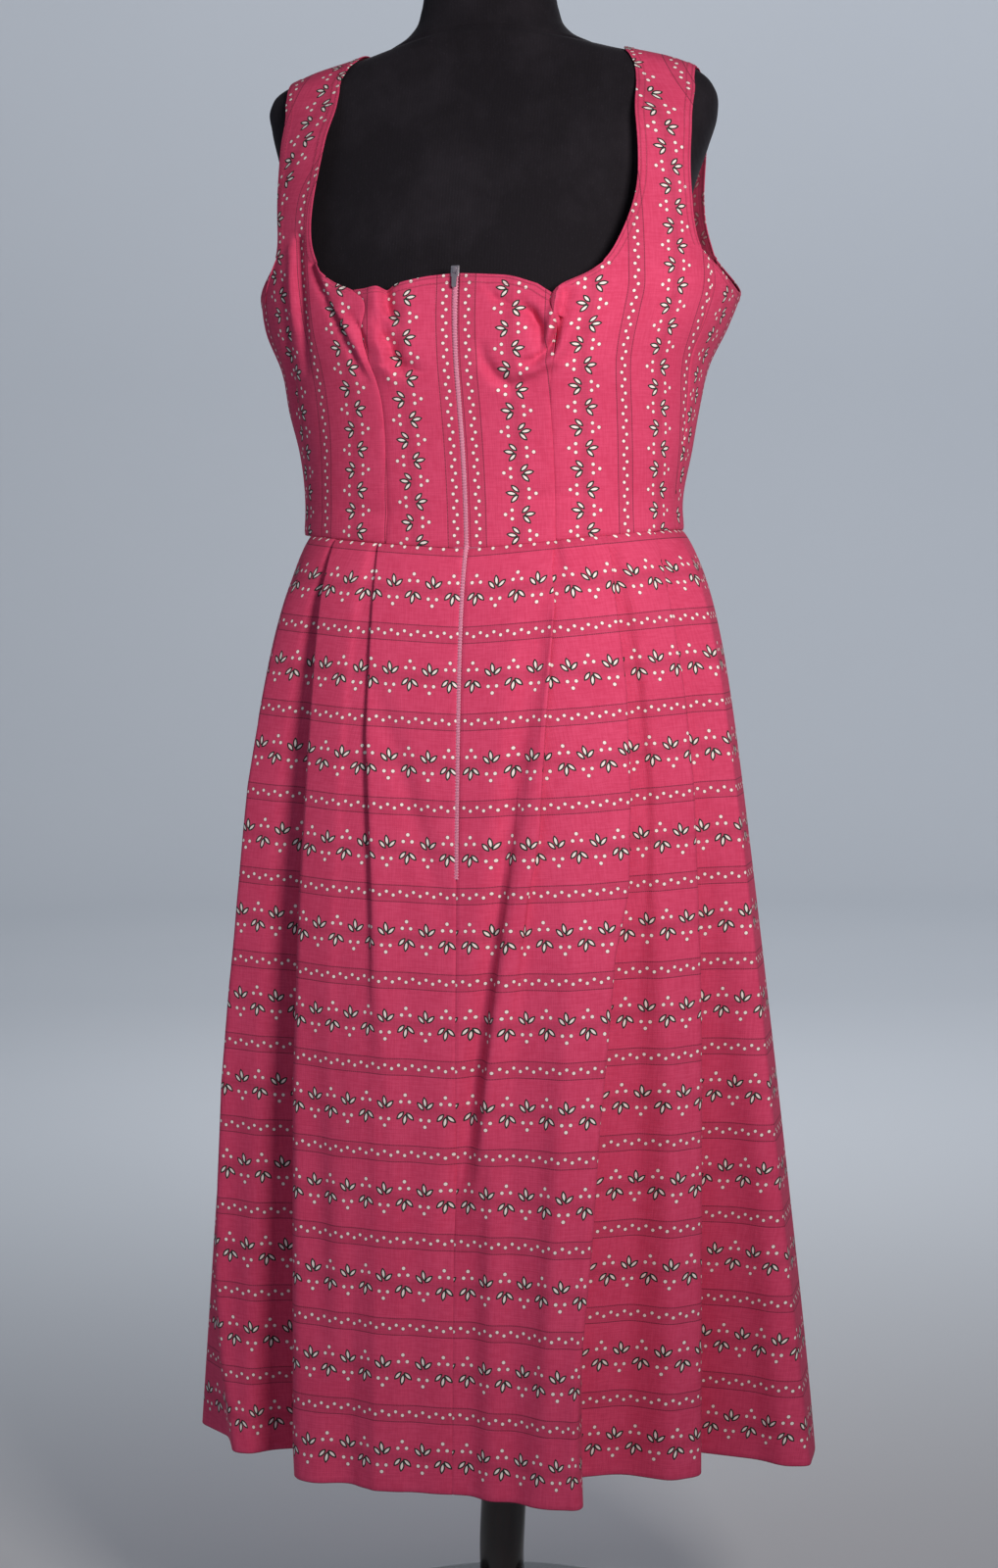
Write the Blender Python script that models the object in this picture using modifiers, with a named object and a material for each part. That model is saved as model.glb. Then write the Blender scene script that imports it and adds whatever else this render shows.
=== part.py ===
"""A sleeveless pleated dirndl on a limbless dress form with a barley-twist stand.

Metres, +Z up. The front faces -Y, left is -X. The origin is on the floor under the pole.
The cloth is a wall round a hollow: every panel is an open sheet of points, given its thickness.
"""

import math
from typing import NamedTuple

import bmesh
import bpy
import numpy as np
from mathutils import Matrix

# Driving sizes, in metres
WALL = 0.001  # cloth thickness
SEAM_GAP = 0.0003  # between two pieces that are sewn or laid together
LAYER = 0.0015  # from one layer of a pleat to the next
CENTRE_X = 0.005  # the dress and the form hang this far to the right of the pole
HEM_HEIGHT = 0.215
WAIST_FRONT = 0.9955  # height of the waist seam at the centre front
WAIST_RISE = 0.0145  # how much higher it is at the sides and back
ZIP_TOP = 1.2190
ZIP_END = 0.720
TAPE_BEHIND = 0.0013  # from the middle of the wall back to the middle of the zip's tape
SLIDER_HEIGHT = 1.2205
SQUARENESS = 2.3  # exponent of the body's oval sections, 2 is an ellipse
REST_FROM = 1.340  # above this the straps come down onto the form
REST_FULL = 1.392  # and from here they lie on it
REST_GAP = 0.0013  # from the form's surface to the middle of a resting strap
WAIST_GAP = 0.0003  # each side of the waist seam: the walls lean towards each other there
CUP_FORWARD = 0.009  # fullness of each cup beyond the plain section
CUP_ACROSS = 0.086
CUP_HEIGHT = 1.166
CUP_BREADTH = 0.040

FOOT_RADIUS = 0.175
FOOT_HEIGHT = 0.030
POLE_RADIUS = 0.0215
POLE_LOBES = 3
POLE_LOBE_HEIGHT = 0.0032
POLE_PITCH = 0.160
FORM_BOTTOM = 0.740


class Ring(NamedTuple):
    """One level section of a body: its height, half widths and depths from the centre line."""

    height: float
    left: float
    right: float
    front: float
    back: float


DRESS_RINGS = (
    Ring(0.992, 0.171, 0.166, 0.1125, 0.100),
    Ring(1.030, 0.167, 0.162, 0.1140, 0.099),
    Ring(1.080, 0.1705, 0.171, 0.1220, 0.101),
    Ring(1.115, 0.1785, 0.1775, 0.1310, 0.105),
    Ring(1.150, 0.184, 0.186, 0.1400, 0.110),
    Ring(1.185, 0.198, 0.2035, 0.1420, 0.115),
    Ring(1.212, 0.202, 0.213, 0.1380, 0.118),
    Ring(1.250, 0.200, 0.203, 0.1270, 0.119),
    Ring(1.300, 0.198, 0.199, 0.1100, 0.115),
    Ring(1.340, 0.198, 0.199, 0.0940, 0.106),
    Ring(1.400, 0.196, 0.197, 0.0700, 0.085),
)

FORM_RINGS = (
    Ring(0.740, 0.150, 0.150, 0.105, 0.100),
    Ring(0.800, 0.160, 0.160, 0.113, 0.110),
    Ring(0.870, 0.155, 0.155, 0.108, 0.105),
    Ring(0.940, 0.138, 0.138, 0.094, 0.090),
    Ring(0.995, 0.128, 0.128, 0.086, 0.080),
    Ring(1.060, 0.134, 0.134, 0.092, 0.084),
    Ring(1.120, 0.150, 0.150, 0.108, 0.092),
    Ring(1.170, 0.163, 0.163, 0.121, 0.099),
    Ring(1.215, 0.170, 0.170, 0.119, 0.104),
    Ring(1.260, 0.176, 0.176, 0.107, 0.105),
    Ring(1.300, 0.184, 0.184, 0.093, 0.103),
    Ring(1.335, 0.190, 0.190, 0.079, 0.096),
    Ring(1.360, 0.1915, 0.1915, 0.068, 0.085),
    Ring(1.380, 0.1895, 0.1895, 0.059, 0.074),
    Ring(1.392, 0.183, 0.183, 0.054, 0.066),
    Ring(1.4005, 0.1705, 0.1705, 0.051, 0.061),
    Ring(1.406, 0.156, 0.156, 0.0495, 0.059),
    Ring(1.412, 0.132, 0.132, 0.049, 0.0585),
    Ring(1.418, 0.107, 0.107, 0.050, 0.0585),
    Ring(1.4235, 0.0895, 0.0895, 0.051, 0.058),
    Ring(1.4285, 0.078, 0.078, 0.0515, 0.057),
    Ring(1.438, 0.066, 0.066, 0.051, 0.055),
    Ring(1.455, 0.0585, 0.0585, 0.050, 0.053),
    Ring(1.475, 0.0555, 0.0555, 0.049, 0.051),
    Ring(1.500, 0.055, 0.055, 0.0485, 0.0505),
    Ring(1.530, 0.0555, 0.0555, 0.049, 0.051),
)


class Edge(NamedTuple):
    """A place on both edges of a panel: distances from x = 0 on the left and right panel."""

    inner_height: float
    inner_left: float
    inner_right: float
    outer_height: float
    outer_left: float
    outer_right: float


# Front strap from just under the shoulder down to where the armhole meets the side seam
FRONT_STRAP = (
    Edge(1.3870, 0.1100, 0.1366, 1.3800, 0.1628, 0.1860),
    Edge(1.3620, 0.1178, 0.1412, 1.3540, 0.1638, 0.1856),
    Edge(1.3350, 0.1218, 0.1450, 1.3280, 0.1640, 0.1850),
    Edge(1.3070, 0.1265, 0.1477, 1.3020, 0.1636, 0.1855),
    Edge(1.2830, 0.1296, 0.1463, 1.2800, 0.1616, 0.1875),
    Edge(1.2600, 0.1293, 0.1400, 1.2620, 0.1610, 0.1900),
    Edge(1.2420, 0.1245, 0.1335, 1.2430, 0.1640, 0.1931),
)
BACK_STRAP = (
    Edge(1.3870, 0.1040, 0.1230, 1.3800, 0.1670, 0.1830),
    Edge(1.3600, 0.1080, 0.1220, 1.3500, 0.1710, 0.1825),
    Edge(1.3370, 0.1060, 0.1180, 1.3220, 0.1720, 0.1825),
    Edge(1.3220, 0.0990, 0.1100, 1.2960, 0.1720, 0.1830),
    Edge(1.3130, 0.0880, 0.0980, 1.2700, 0.1740, 0.1860),
    Edge(1.3080, 0.0750, 0.0850, 1.2450, 0.1760, 0.1900),
)
# Where the strap crosses the top of the shoulder, and how far down each row above the strap's table lies
SHOULDER_INNER = (0.0930, 0.1240)
SHOULDER_OUTER = (0.1620, 0.1850)
SHOULDER_DROPS = (0.0, 0.0005, 0.0022, 0.0056, 0.0110)


class SeamPoint(NamedTuple):
    """A place on a long seam: its height, and its distance on the left and on the right."""

    height: float
    left: float
    right: float


class Seam(NamedTuple):
    """A long seam from the top down. Its distances are from x = 0 or, for a side seam,
    the depth in front of the side line or behind it."""

    back: bool
    by_depth: bool
    points: tuple


FRONT_PRINCESS = Seam(
    False,
    False,
    (
        SeamPoint(1.2260, 0.1138, 0.1240),
        SeamPoint(1.2165, 0.1010, 0.1115),
        SeamPoint(1.2065, 0.0830, 0.0935),
        SeamPoint(1.1720, 0.0746, 0.0900),
        SeamPoint(1.1250, 0.0626, 0.0815),
        SeamPoint(1.0700, 0.0631, 0.0800),
        SeamPoint(0.9900, 0.0671, 0.0791),
    ),
)
PRINCESS_TOP = 2  # the row where the front centre panel begins, the rows above are neckline
BACK_PRINCESS = Seam(
    True,
    False,
    (
        SeamPoint(1.3080, 0.0750, 0.0850),
        SeamPoint(1.2400, 0.0700, 0.0800),
        SeamPoint(1.1700, 0.0620, 0.0720),
        SeamPoint(1.1000, 0.0560, 0.0660),
        SeamPoint(1.0400, 0.0560, 0.0660),
        SeamPoint(0.9900, 0.0600, 0.0700),
    ),
)
FRONT_SIDE_SEAM = Seam(
    False,
    True,
    (
        SeamPoint(1.2430, 0.0780, 0.0590),
        SeamPoint(1.2000, 0.0640, 0.0590),
        SeamPoint(1.1600, 0.0500, 0.0500),
        SeamPoint(1.1100, 0.0320, 0.0320),
        SeamPoint(1.0500, 0.0210, 0.0210),
        SeamPoint(0.9900, 0.0170, 0.0170),
    ),
)
BACK_SIDE_SEAM = Seam(
    True,
    True,
    (
        SeamPoint(1.2450, 0.0600, 0.0593),
        SeamPoint(1.2000, 0.0640, 0.0640),
        SeamPoint(1.1500, 0.0640, 0.0640),
        SeamPoint(1.0800, 0.0540, 0.0540),
        SeamPoint(0.9900, 0.0500, 0.0500),
    ),
)
ARMHOLE_LOW = 1.2095  # the armhole's lowest point, at the side


class Place(NamedTuple):
    """A place on a neckline: its share of the way from the centre to the princess seam."""

    share: float
    height: float


NECKLINE = (
    Place(0.00, 1.2190),
    Place(0.23, 1.2168),
    Place(0.45, 1.2130),
    Place(0.65, 1.2092),
    Place(0.82, 1.2086),
    Place(1.00, 1.2065),
)
BACK_NECKLINE = (Place(0.0, 1.3040), Place(0.5, 1.3048), Place(1.0, 1.3080))


class Pleat(NamedTuple):
    """A knife pleat whose fold points away from the centre: its place at the waist seam,
    how deep it is laid, how far down it is still a fold, and where its outer fold and the
    inner fold behind it stand at the hem."""

    waist: float
    tuck: float
    release: float
    fold_x: float
    fold_y: float
    inner_x: float
    inner_y: float


SKIRT_FRONT = {
    "left": (
        Pleat(0.077, 0.036, 0.52, -0.050, -0.190, -0.062, -0.193),
        Pleat(0.122, 0.036, 1.0, -0.143, -0.171, -0.150, -0.092),
        Pleat(0.169, 0.036, 1.0, -0.209, -0.138, -0.222, -0.076),
    ),
    "right": (
        Pleat(0.077, 0.036, 0.62, 0.038, -0.198, 0.050, -0.203),
        Pleat(0.122, 0.036, 1.0, 0.108, -0.211, 0.100, -0.118),
        Pleat(0.169, 0.036, 1.0, 0.190, -0.105, 0.185, -0.034),
    ),
}
SKIRT_BACK = {
    "left": (
        Pleat(0.070, 0.036, 0.55, -0.044, 0.168, -0.056, 0.170),
        Pleat(0.115, 0.036, 1.0, -0.122, 0.176, -0.116, 0.108),
        Pleat(0.162, 0.036, 1.0, -0.203, 0.116, -0.199, 0.052),
    ),
    "right": (
        Pleat(0.070, 0.036, 0.60, 0.036, 0.173, 0.048, 0.176),
        Pleat(0.115, 0.036, 1.0, 0.112, 0.184, 0.104, 0.114),
        Pleat(0.162, 0.036, 1.0, 0.194, 0.124, 0.192, 0.056),
    ),
}
# Where the hem bulges at the sides, in front of the side seam, at it and behind it
HEM_SIDE = {
    "left": ((-0.268, -0.046), (-0.277, 0.000), (-0.270, 0.040)),
    "right": ((0.274, -0.056), (0.281, 0.000), (0.274, 0.042)),
}
HEM_CENTRE_FRONT = (0.000, -0.186)
HEM_CENTRE_BACK = (0.000, 0.166)
SKIRT_LEVELS = (0.0, 0.03, 0.08, 0.16, 0.26, 0.353, 0.385, 0.50, 0.65, 0.82, 1.0)
HIP_SPRING = 0.20  # share of the flare that comes at once below the waist
HIP_DEPTH = 0.06  # and how far down, as a share of the skirt's length
FLARE_POWER = 0.88
SOFTEST = 0.011  # rounding of the folds at the hem
FOLD_BREADTH = 0.010  # half the breadth of a fold at the hem
SOFT_BREADTH = 0.003  # the same where a pleat has fallen open
SOFT_BILLOW = 0.003  # how far a pleat that falls open stands out and in on its way down
OPEN_STEP = 0.006  # from point to point of a pleat that has fallen open
OPEN_FROM = 0.030  # and where the first of them is, before the pleat's fold
TUCK_RUN = 0.0015  # a layer's straight run goes on this far past the fold under it
FLANK = 0.022  # the last pleat ends by here, before the side seam
SHORT_SPAN = 0.012  # a span of the waist shorter than this is one step of the panel
SEAM_ROWS = 12  # rows down each long seam of the back and the side
PRINCESS_ROWS = 9
FORM_POINTS = 32

SAMPLES = 24  # close points between two anchors before the section is rounded
LAYER_STEPS = 3  # spans along each layer of a pleat
PAST_TURN = 1.3  # a fold's first and last points lie this many windows away from it
SOFTENING = 1.3  # power by which the folds get rounder on their way down
QUARTER = 20  # spans between anchors in a quarter of the skirt
TURNED = {"turn_start": "turn_end", "turn_end": "turn_start"}
ARMHOLE_ROUNDNESS = 0.7
SHOULDER_BLEND = 0.020

TAPE_ABOVE = 0.0005
TAPE_HALF = 0.011
TAPE_THICK = 0.0008
COIL_HALF = 0.0015
COIL_HEIGHT = 0.0014
SLIDER_WIDTH = 0.0070
SLIDER_LENGTH = 0.0095
SLIDER_THICK = 0.0024
SLIDER_BEHIND = 0.0008  # from the middle of the wall to the slider's back
BRIDGE_WIDTH = 0.0020
BRIDGE_LENGTH = 0.0048
BRIDGE_LEG = 0.0009
BRIDGE_OPENING = 0.0019
BRIDGE_THICK = 0.0012
TAB_WIDTH = 0.0044
TAB_LENGTH = 0.0155
TAB_THICK = 0.0010
TAB_BAR = 0.0012
TAB_ARM = 0.0008
TAB_WINDOW = 0.0037  # from the hinge to the lower end of the window
TAB_TAPER = 0.85  # breadth of its rounded end
POLE_POINTS = 15
POLE_SECTIONS = 45
FOOT_STEPS = 56

COLOURS = {
    "cloth": (0.66, 0.06, 0.12, 1.0),
    "zip": (0.68, 0.26, 0.39, 1.0),
    "zip_metal": (0.74, 0.70, 0.76, 1.0),
    "form": (0.012, 0.012, 0.015, 1.0),
    "stand": (0.02, 0.014, 0.012, 1.0),
}
ROUGHNESS = {"cloth": 0.8, "zip": 0.6, "zip_metal": 0.35, "form": 0.9, "stand": 0.15}


def clear_scene():
    """Take every object out of the scene."""
    for obj in list(bpy.data.objects):
        bpy.data.objects.remove(obj, do_unlink=True)


def material(kind):
    """The material of this kind, made at its first use."""
    found = bpy.data.materials.get(kind)
    if found:
        return found
    made = bpy.data.materials.new(kind)
    made.use_nodes = True
    shader = made.node_tree.nodes["Principled BSDF"]
    shader.inputs["Base Color"].default_value = COLOURS[kind]
    shader.inputs["Roughness"].default_value = ROUGHNESS[kind]
    shader.inputs["Metallic"].default_value = 1.0 if kind == "zip_metal" else 0.0
    return made


def smooth_table(at, places, values):
    """Cubic curve through the rows of a table, level beyond its ends."""
    places = np.asarray(places, float)
    values = np.asarray(values, float)
    slopes = np.gradient(values, places)
    at = np.clip(np.asarray(at, float), places[0], places[-1])
    row = np.clip(np.searchsorted(places, at) - 1, 0, len(places) - 2)
    span = places[row + 1] - places[row]
    u = (at - places[row]) / span
    return (
        (2 * u**3 - 3 * u**2 + 1) * values[row]
        + (u**3 - 2 * u**2 + u) * span * slopes[row]
        + (3 * u**2 - 2 * u**3) * values[row + 1]
        + (u**3 - u**2) * span * slopes[row + 1]
    )


def ease(at, start, end):
    """0 before start, 1 after end, and a smooth step between."""
    u = np.clip((np.asarray(at, float) - start) / (end - start), 0.0, 1.0)
    return u * u * (3 - 2 * u)


def ring_sizes(rings, height):
    """Left, right, front and back of the section at this height."""
    heights = [ring.height for ring in rings]
    columns = ("left", "right", "front", "back")
    return [smooth_table(height, heights, [getattr(r, c) for r in rings]) for c in columns]


def dress_sizes(height):
    """The dress's section: its own below the chest, the form's with a small gap at the shoulder."""
    height = np.asarray(height, float)
    resting = ease(height, REST_FROM, REST_FULL)
    own = ring_sizes(DRESS_RINGS, height)
    form = ring_sizes(FORM_RINGS, height - REST_GAP)
    return [(1 - resting) * a + resting * (b + REST_GAP) for a, b in zip(own, form)]


def section_point(angle, height, sizes):
    """A point of a body: angle 0 is the centre front, +90 the right side, 180 the back."""
    angle, height = np.broadcast_arrays(np.asarray(angle, float), np.asarray(height, float))
    left, right, front, back = sizes(height)
    sine, cosine = np.sin(angle), np.cos(angle)
    width = np.where(sine < 0, left, right)
    depth = np.where(cosine > 0, front, back)
    power = 2 / SQUARENESS
    x = CENTRE_X + width * np.sign(sine) * np.abs(sine) ** power
    y = -depth * np.sign(cosine) * np.abs(cosine) ** power
    return np.stack([x, y, height], axis=-1)


def dress_point(angle, height):
    """A point of the dress: its section, with the fullness of the two cups in front."""
    point = section_point(angle, height, dress_sizes)
    aside = (np.abs(point[..., 0] - CENTRE_X) - CUP_ACROSS) / CUP_BREADTH
    above = (point[..., 2] - CUP_HEIGHT) / CUP_BREADTH
    fullness = CUP_FORWARD * np.exp(-(aside**2 + above**2) / 2)
    point[..., 1] -= fullness * ease(-point[..., 1], 0.02, 0.07)
    return point


def angle_at_x(x, height, back=False):
    """The angle at which the dress's section at this height has this x."""
    left, right, _, _ = dress_sizes(height)
    x = np.asarray(x, float) - CENTRE_X
    share = np.clip(np.abs(x) / np.where(x < 0, left, right), 0.0, 1.0)
    angle = np.arcsin(share ** (SQUARENESS / 2))
    return np.sign(x) * (math.pi - angle if back else angle)


def angle_at_y(depth, height, side, back=False):
    """The angle at which the section is this deep in front of, or behind, its side line."""
    sizes = dress_sizes(height)
    share = np.clip(np.asarray(depth, float) / sizes[3 if back else 2], 0.0, 1.0)
    angle = np.arccos(share ** (SQUARENESS / 2))
    return side * (math.pi - angle if back else angle)


def ridge_height(x):
    """Height of the shoulder's top line where a strap lies on it."""
    heights = np.linspace(1.362, 1.4285, 120)
    _, right, _, _ = dress_sizes(heights)
    return np.interp(np.abs(np.asarray(x, float) - CENTRE_X), right[::-1], heights[::-1])


def waist_height(angle):
    """The waist seam dips at the centre front and is level from the sides to the back."""
    share = np.abs(np.sin(angle)) ** (2 / SQUARENESS)
    return WAIST_FRONT + WAIST_RISE * np.where(np.cos(angle) > 0, share**1.2, 1.0)


def add_object(name, mesh, kind):
    """Put a mesh in the dress's collection under this name, with its material."""
    obj = bpy.data.objects.new(name, mesh)
    obj.data.materials.append(material(kind))
    bpy.data.collections["dirndl_on_form"].objects.link(obj)
    mesh.shade_smooth()
    return obj


def sheet(name, grid, kind="cloth", thickness=WALL):
    """A panel of cloth: an open sheet through a grid of points, given its thickness."""
    rows, columns = grid.shape[:2]
    index = np.arange(rows * columns).reshape(rows, columns)
    faces = np.stack(
        [index[:-1, :-1], index[:-1, 1:], index[1:, 1:], index[1:, :-1]], axis=-1
    ).reshape(-1, 4)
    mesh = bpy.data.meshes.new(name)
    mesh.from_pydata(grid.reshape(-1, 3).tolist(), [], faces.tolist())
    mesh.update()
    obj = add_object(name, mesh, kind)
    wall = obj.modifiers.new("Wall", "SOLIDIFY")
    wall.thickness = thickness
    wall.offset = 0.0
    wall.use_even_offset = False
    return obj


def loft(name, sections, kind):
    """A solid through closed sections, with a flat cap at each end."""
    count = len(sections[0])
    mesh = bpy.data.meshes.new(name)
    shape = bmesh.new()
    rings = [[shape.verts.new(point) for point in section] for section in sections]
    for lower, upper in zip(rings[:-1], rings[1:]):
        for i in range(count):
            j = (i + 1) % count
            shape.faces.new((lower[i], lower[j], upper[j], upper[i]))
    shape.faces.new(rings[0][::-1])
    shape.faces.new(rings[-1])
    bmesh.ops.recalc_face_normals(shape, faces=shape.faces)
    shape.to_mesh(mesh)
    shape.free()
    return add_object(name, mesh, kind)


def grid_between(inner, outer, columns):
    """Rows of the dress between two edges, each edge given as (angle, height) rows. The last
    row lies on the waist seam."""
    share = np.linspace(0, 1, columns)[None, :, None]
    inner, outer = np.asarray(inner)[:, None, :], np.asarray(outer)[:, None, :]
    blended = inner * (1 - share) + outer * share
    blended[-1, :, 1] = waist_height(blended[-1, :, 0]) + WAIST_GAP
    return dress_point(blended[..., 0], blended[..., 1])


def drawn_in(grid, edges):
    """Move the named edges of a grid inwards by half the seam gap."""
    half = SEAM_GAP / 2
    grid = grid.copy()
    sides = {
        "first_row": (grid[0], grid[1]),
        "last_row": (grid[-1], grid[-2]),
        "first_column": (grid[:, 0], grid[:, 1]),
        "last_column": (grid[:, -1], grid[:, -2]),
    }
    for edge in edges:
        outermost, following = sides[edge]
        step = following - outermost
        outermost += half * step / np.linalg.norm(step, axis=-1, keepdims=True)
    return grid


def seam_rows(seam, side, heights):
    """(angle, height) rows of a seam at these heights."""
    heights = np.asarray(heights, float)
    places = [point.height for point in seam.points][::-1]
    values = [point.left if side < 0 else point.right for point in seam.points][::-1]
    distance = smooth_table(heights, places, values)
    if seam.by_depth:
        angles = angle_at_y(distance, heights, side, seam.back)
    else:
        angles = angle_at_x(side * distance, heights, seam.back)
    return np.stack([angles, heights], axis=1)


def waist_start(seam, side):
    """Height of the waist seam where this seam comes down to it."""
    height = WAIST_FRONT + WAIST_RISE
    for _ in range(4):
        height = float(waist_height(seam_rows(seam, side, [height])[0, 0]))
    return height


def seam_heights(seam, side, top, rows):
    """Even heights down a seam, from this height to the waist seam."""
    return np.linspace(top, waist_start(seam, side), rows)


def strap_edges(side, strap, back):
    """(angle, height) rows of a strap's inner and outer edge, from the shoulder's top down."""
    pick = 0 if side < 0 else 1
    inner, outer = [], []
    low = strap[0]
    tops = ((inner, SHOULDER_INNER[pick], low[1 + pick]), (outer, SHOULDER_OUTER[pick], low[4 + pick]))
    for drop in SHOULDER_DROPS:
        share = float(ease(drop, 0, SHOULDER_BLEND))
        for rows, top_x, low_x in tops:
            x = side * (top_x * (1 - share) + low_x * share)
            height = float(ridge_height(x)) - drop
            rows.append((float(angle_at_x(x, height, back)), height))
    for edge in strap:
        inner_angle = float(angle_at_x(side * edge[1 + pick], edge.inner_height, back))
        outer_angle = float(angle_at_x(side * edge[4 + pick], edge.outer_height, back))
        inner.append((inner_angle, edge.inner_height))
        outer.append((outer_angle, edge.outer_height))
    return inner, outer


def side_with_strap(name, side, strap, princess, side_seam, columns):
    """A side panel of the front or back with its strap, from the shoulder's top to the waist."""
    inner, outer = strap_edges(side, strap, princess.back)
    top = princess.points[0].height
    inner_heights = seam_heights(princess, side, top, SEAM_ROWS)[1:]
    if not princess.back:
        neckline = [point.height for point in princess.points[: PRINCESS_TOP + 1]]
        seam = seam_heights(princess, side, neckline[-1], PRINCESS_ROWS)[1:]
        inner_heights = np.concatenate([neckline, seam])
    outer_heights = seam_heights(side_seam, side, side_seam.points[0].height, SEAM_ROWS)
    inner += seam_rows(princess, side, inner_heights).tolist()
    outer = outer[:-1] + seam_rows(side_seam, side, outer_heights).tolist()
    grid = grid_between(inner, outer, columns)
    return sheet(name, drawn_in(grid, ("first_row", "first_column", "last_column")))


def neckline_height(neckline, share):
    """Height of a neckline at this share of the way from the centre to the princess seam."""
    return smooth_table(share, [place.share for place in neckline], [p.height for p in neckline])


def centre_panel(name, side, columns):
    """A front centre panel, from the zip to the princess seam and from waist to neckline."""
    top = FRONT_PRINCESS.points[PRINCESS_TOP].height
    edge_heights = seam_heights(FRONT_PRINCESS, side, top, PRINCESS_ROWS)
    edge = seam_rows(FRONT_PRINCESS, side, edge_heights)
    zip_heights = np.linspace(ZIP_TOP, WAIST_FRONT, PRINCESS_ROWS)
    gaps = np.array([zip_half_gap(height) for height in zip_heights])
    zip_angles = angle_at_x(CENTRE_X + side * gaps, zip_heights)
    share = np.linspace(0, 1, columns)[None, :]
    angles = zip_angles[:, None] * (1 - share) + edge[:, :1] * share
    foot = waist_height(angles) + WAIST_GAP
    head = neckline_height(NECKLINE, share)
    down = np.linspace(0, 1, PRINCESS_ROWS)[:, None]
    grid = dress_point(angles, head + (foot - head) * down)
    return sheet(name, drawn_in(grid, ("last_column",)))


def back_centre_panel(name, columns):
    """The back's centre panel, between its two princess seams, up to the back neckline."""
    edges = []
    for side in (-1, 1):
        heights = seam_heights(BACK_PRINCESS, side, BACK_PRINCESS.points[0].height, SEAM_ROWS)
        edges.append(seam_rows(BACK_PRINCESS, side, heights)[:, :1] % (2 * math.pi))
    share = np.linspace(0, 1, columns)[None, :]
    angles = edges[0] * (1 - share) + edges[1] * share
    foot = waist_height(angles) + WAIST_GAP
    head = neckline_height(BACK_NECKLINE, np.abs(2 * share - 1))
    down = np.linspace(0, 1, SEAM_ROWS)[:, None]
    grid = dress_point(angles, head + (foot - head) * down)
    return sheet(name, drawn_in(grid, ("first_column", "last_column")))


def underarm_panel(name, side, columns):
    """The panel under the arm, between the two side seams, cut low for the armhole."""
    edges = []
    for seam in (FRONT_SIDE_SEAM, BACK_SIDE_SEAM):
        edges.append(seam_rows(seam, side, seam_heights(seam, side, seam.points[0].height, SEAM_ROWS)))
    share = np.linspace(0, 1, columns)[None, :]
    angles = edges[0][:, :1] * (1 - share) + edges[1][:, :1] * share
    foot = waist_height(angles) + WAIST_GAP
    straight = edges[0][0, 1] * (1 - share) + edges[1][0, 1] * share
    dip = np.maximum(np.sin(math.pi * share), 0.0) ** ARMHOLE_ROUNDNESS
    head = straight - (straight - ARMHOLE_LOW) * dip
    down = np.linspace(0, 1, SEAM_ROWS)[:, None]
    grid = dress_point(angles, head + (foot - head) * down)
    return sheet(name, drawn_in(grid, ("first_column", "last_column")))


def zip_half_gap(height):
    """Half the distance between the edges along the zip: wider at the neckline, closed below it."""
    heights = (ZIP_END - 0.025, ZIP_END, 0.96, 1.02, 1.15, ZIP_TOP)
    halves = (SEAM_GAP / 2, 0.0019, 0.0020, 0.0024, 0.0028, 0.0036)
    return float(np.interp(height, heights, halves))


class Anchor(NamedTuple):
    """A point of the skirt's section: where it is along the waist, folded and fallen open, its
    layer, the share of the length where it is open, its place at the hem, and its kind."""

    arc: float
    open_arc: float
    layer: float
    billow: float
    release: float
    hem: tuple
    kind: str


def between(first, second, share):
    """The point at this share of the way from one plan point to another."""
    return tuple(a + (b - a) * share for a, b in zip(first, second))


def beside(corner, other, distance):
    """A plan point this far from the corner towards the other point."""
    length = math.dist(corner, other)
    return between(corner, other, min(distance / length, 0.45))


def pleat_anchors(pleat, previous, following):
    """The six points of a pleat: over its fold, back to the inner fold and out again."""
    fold, inner = (pleat.fold_x, pleat.fold_y), (pleat.inner_x, pleat.inner_y)
    start = pleat.waist - pleat.tuck
    soft = pleat.release < 1.0
    breadth = SOFT_BREADTH if soft else FOLD_BREADTH
    corners = (
        (start - TUCK_RUN, LAYER, 0, between(previous, fold, 0.55), "plain"),
        (pleat.waist, LAYER, 1, beside(fold, previous, breadth), "turn_start"),
        (pleat.waist, 0.0, 1, beside(fold, inner, breadth), "turn_end"),
        (start, 0.0, -1, beside(inner, fold, breadth), "turn_start"),
        (start, -LAYER, -1, beside(inner, following, breadth), "turn_end"),
        (pleat.waist + TUCK_RUN, -LAYER, 0, between(inner, following, 0.45), "plain"),
    )
    anchors = []
    for number, (arc, layer, billow, hem, kind) in enumerate(corners):
        open_arc = pleat.waist - OPEN_FROM + OPEN_STEP * number if soft else arc
        billow = billow * SOFT_BILLOW if soft else 0.0
        anchors.append(Anchor(arc, open_arc, layer, billow, pleat.release, hem, kind))
    return anchors


def quarter_anchors(side, back, girth):
    """Anchors of a quarter of the skirt, from its centre line to the side seam."""
    name = "right" if side > 0 else "left"
    pleats = (SKIRT_BACK if back else SKIRT_FRONT)[name]
    centre = HEM_CENTRE_BACK if back else HEM_CENTRE_FRONT
    flank = HEM_SIDE[name][2 if back else 0]
    folds = [(pleat.fold_x, pleat.fold_y) for pleat in pleats] + [flank]
    anchors = [Anchor(0.0, 0.0, LAYER, 0.0, 1.0, centre, "plain")]
    previous = centre
    for pleat, following in zip(pleats, folds[1:]):
        anchors += pleat_anchors(pleat, previous, following)
        previous = (pleat.inner_x, pleat.inner_y)
    for arc, hem in ((girth - FLANK, flank), (girth, HEM_SIDE[name][1])):
        anchors.append(Anchor(arc, arc, -LAYER, 0.0, 1.0, hem, "plain"))
    return anchors


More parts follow.
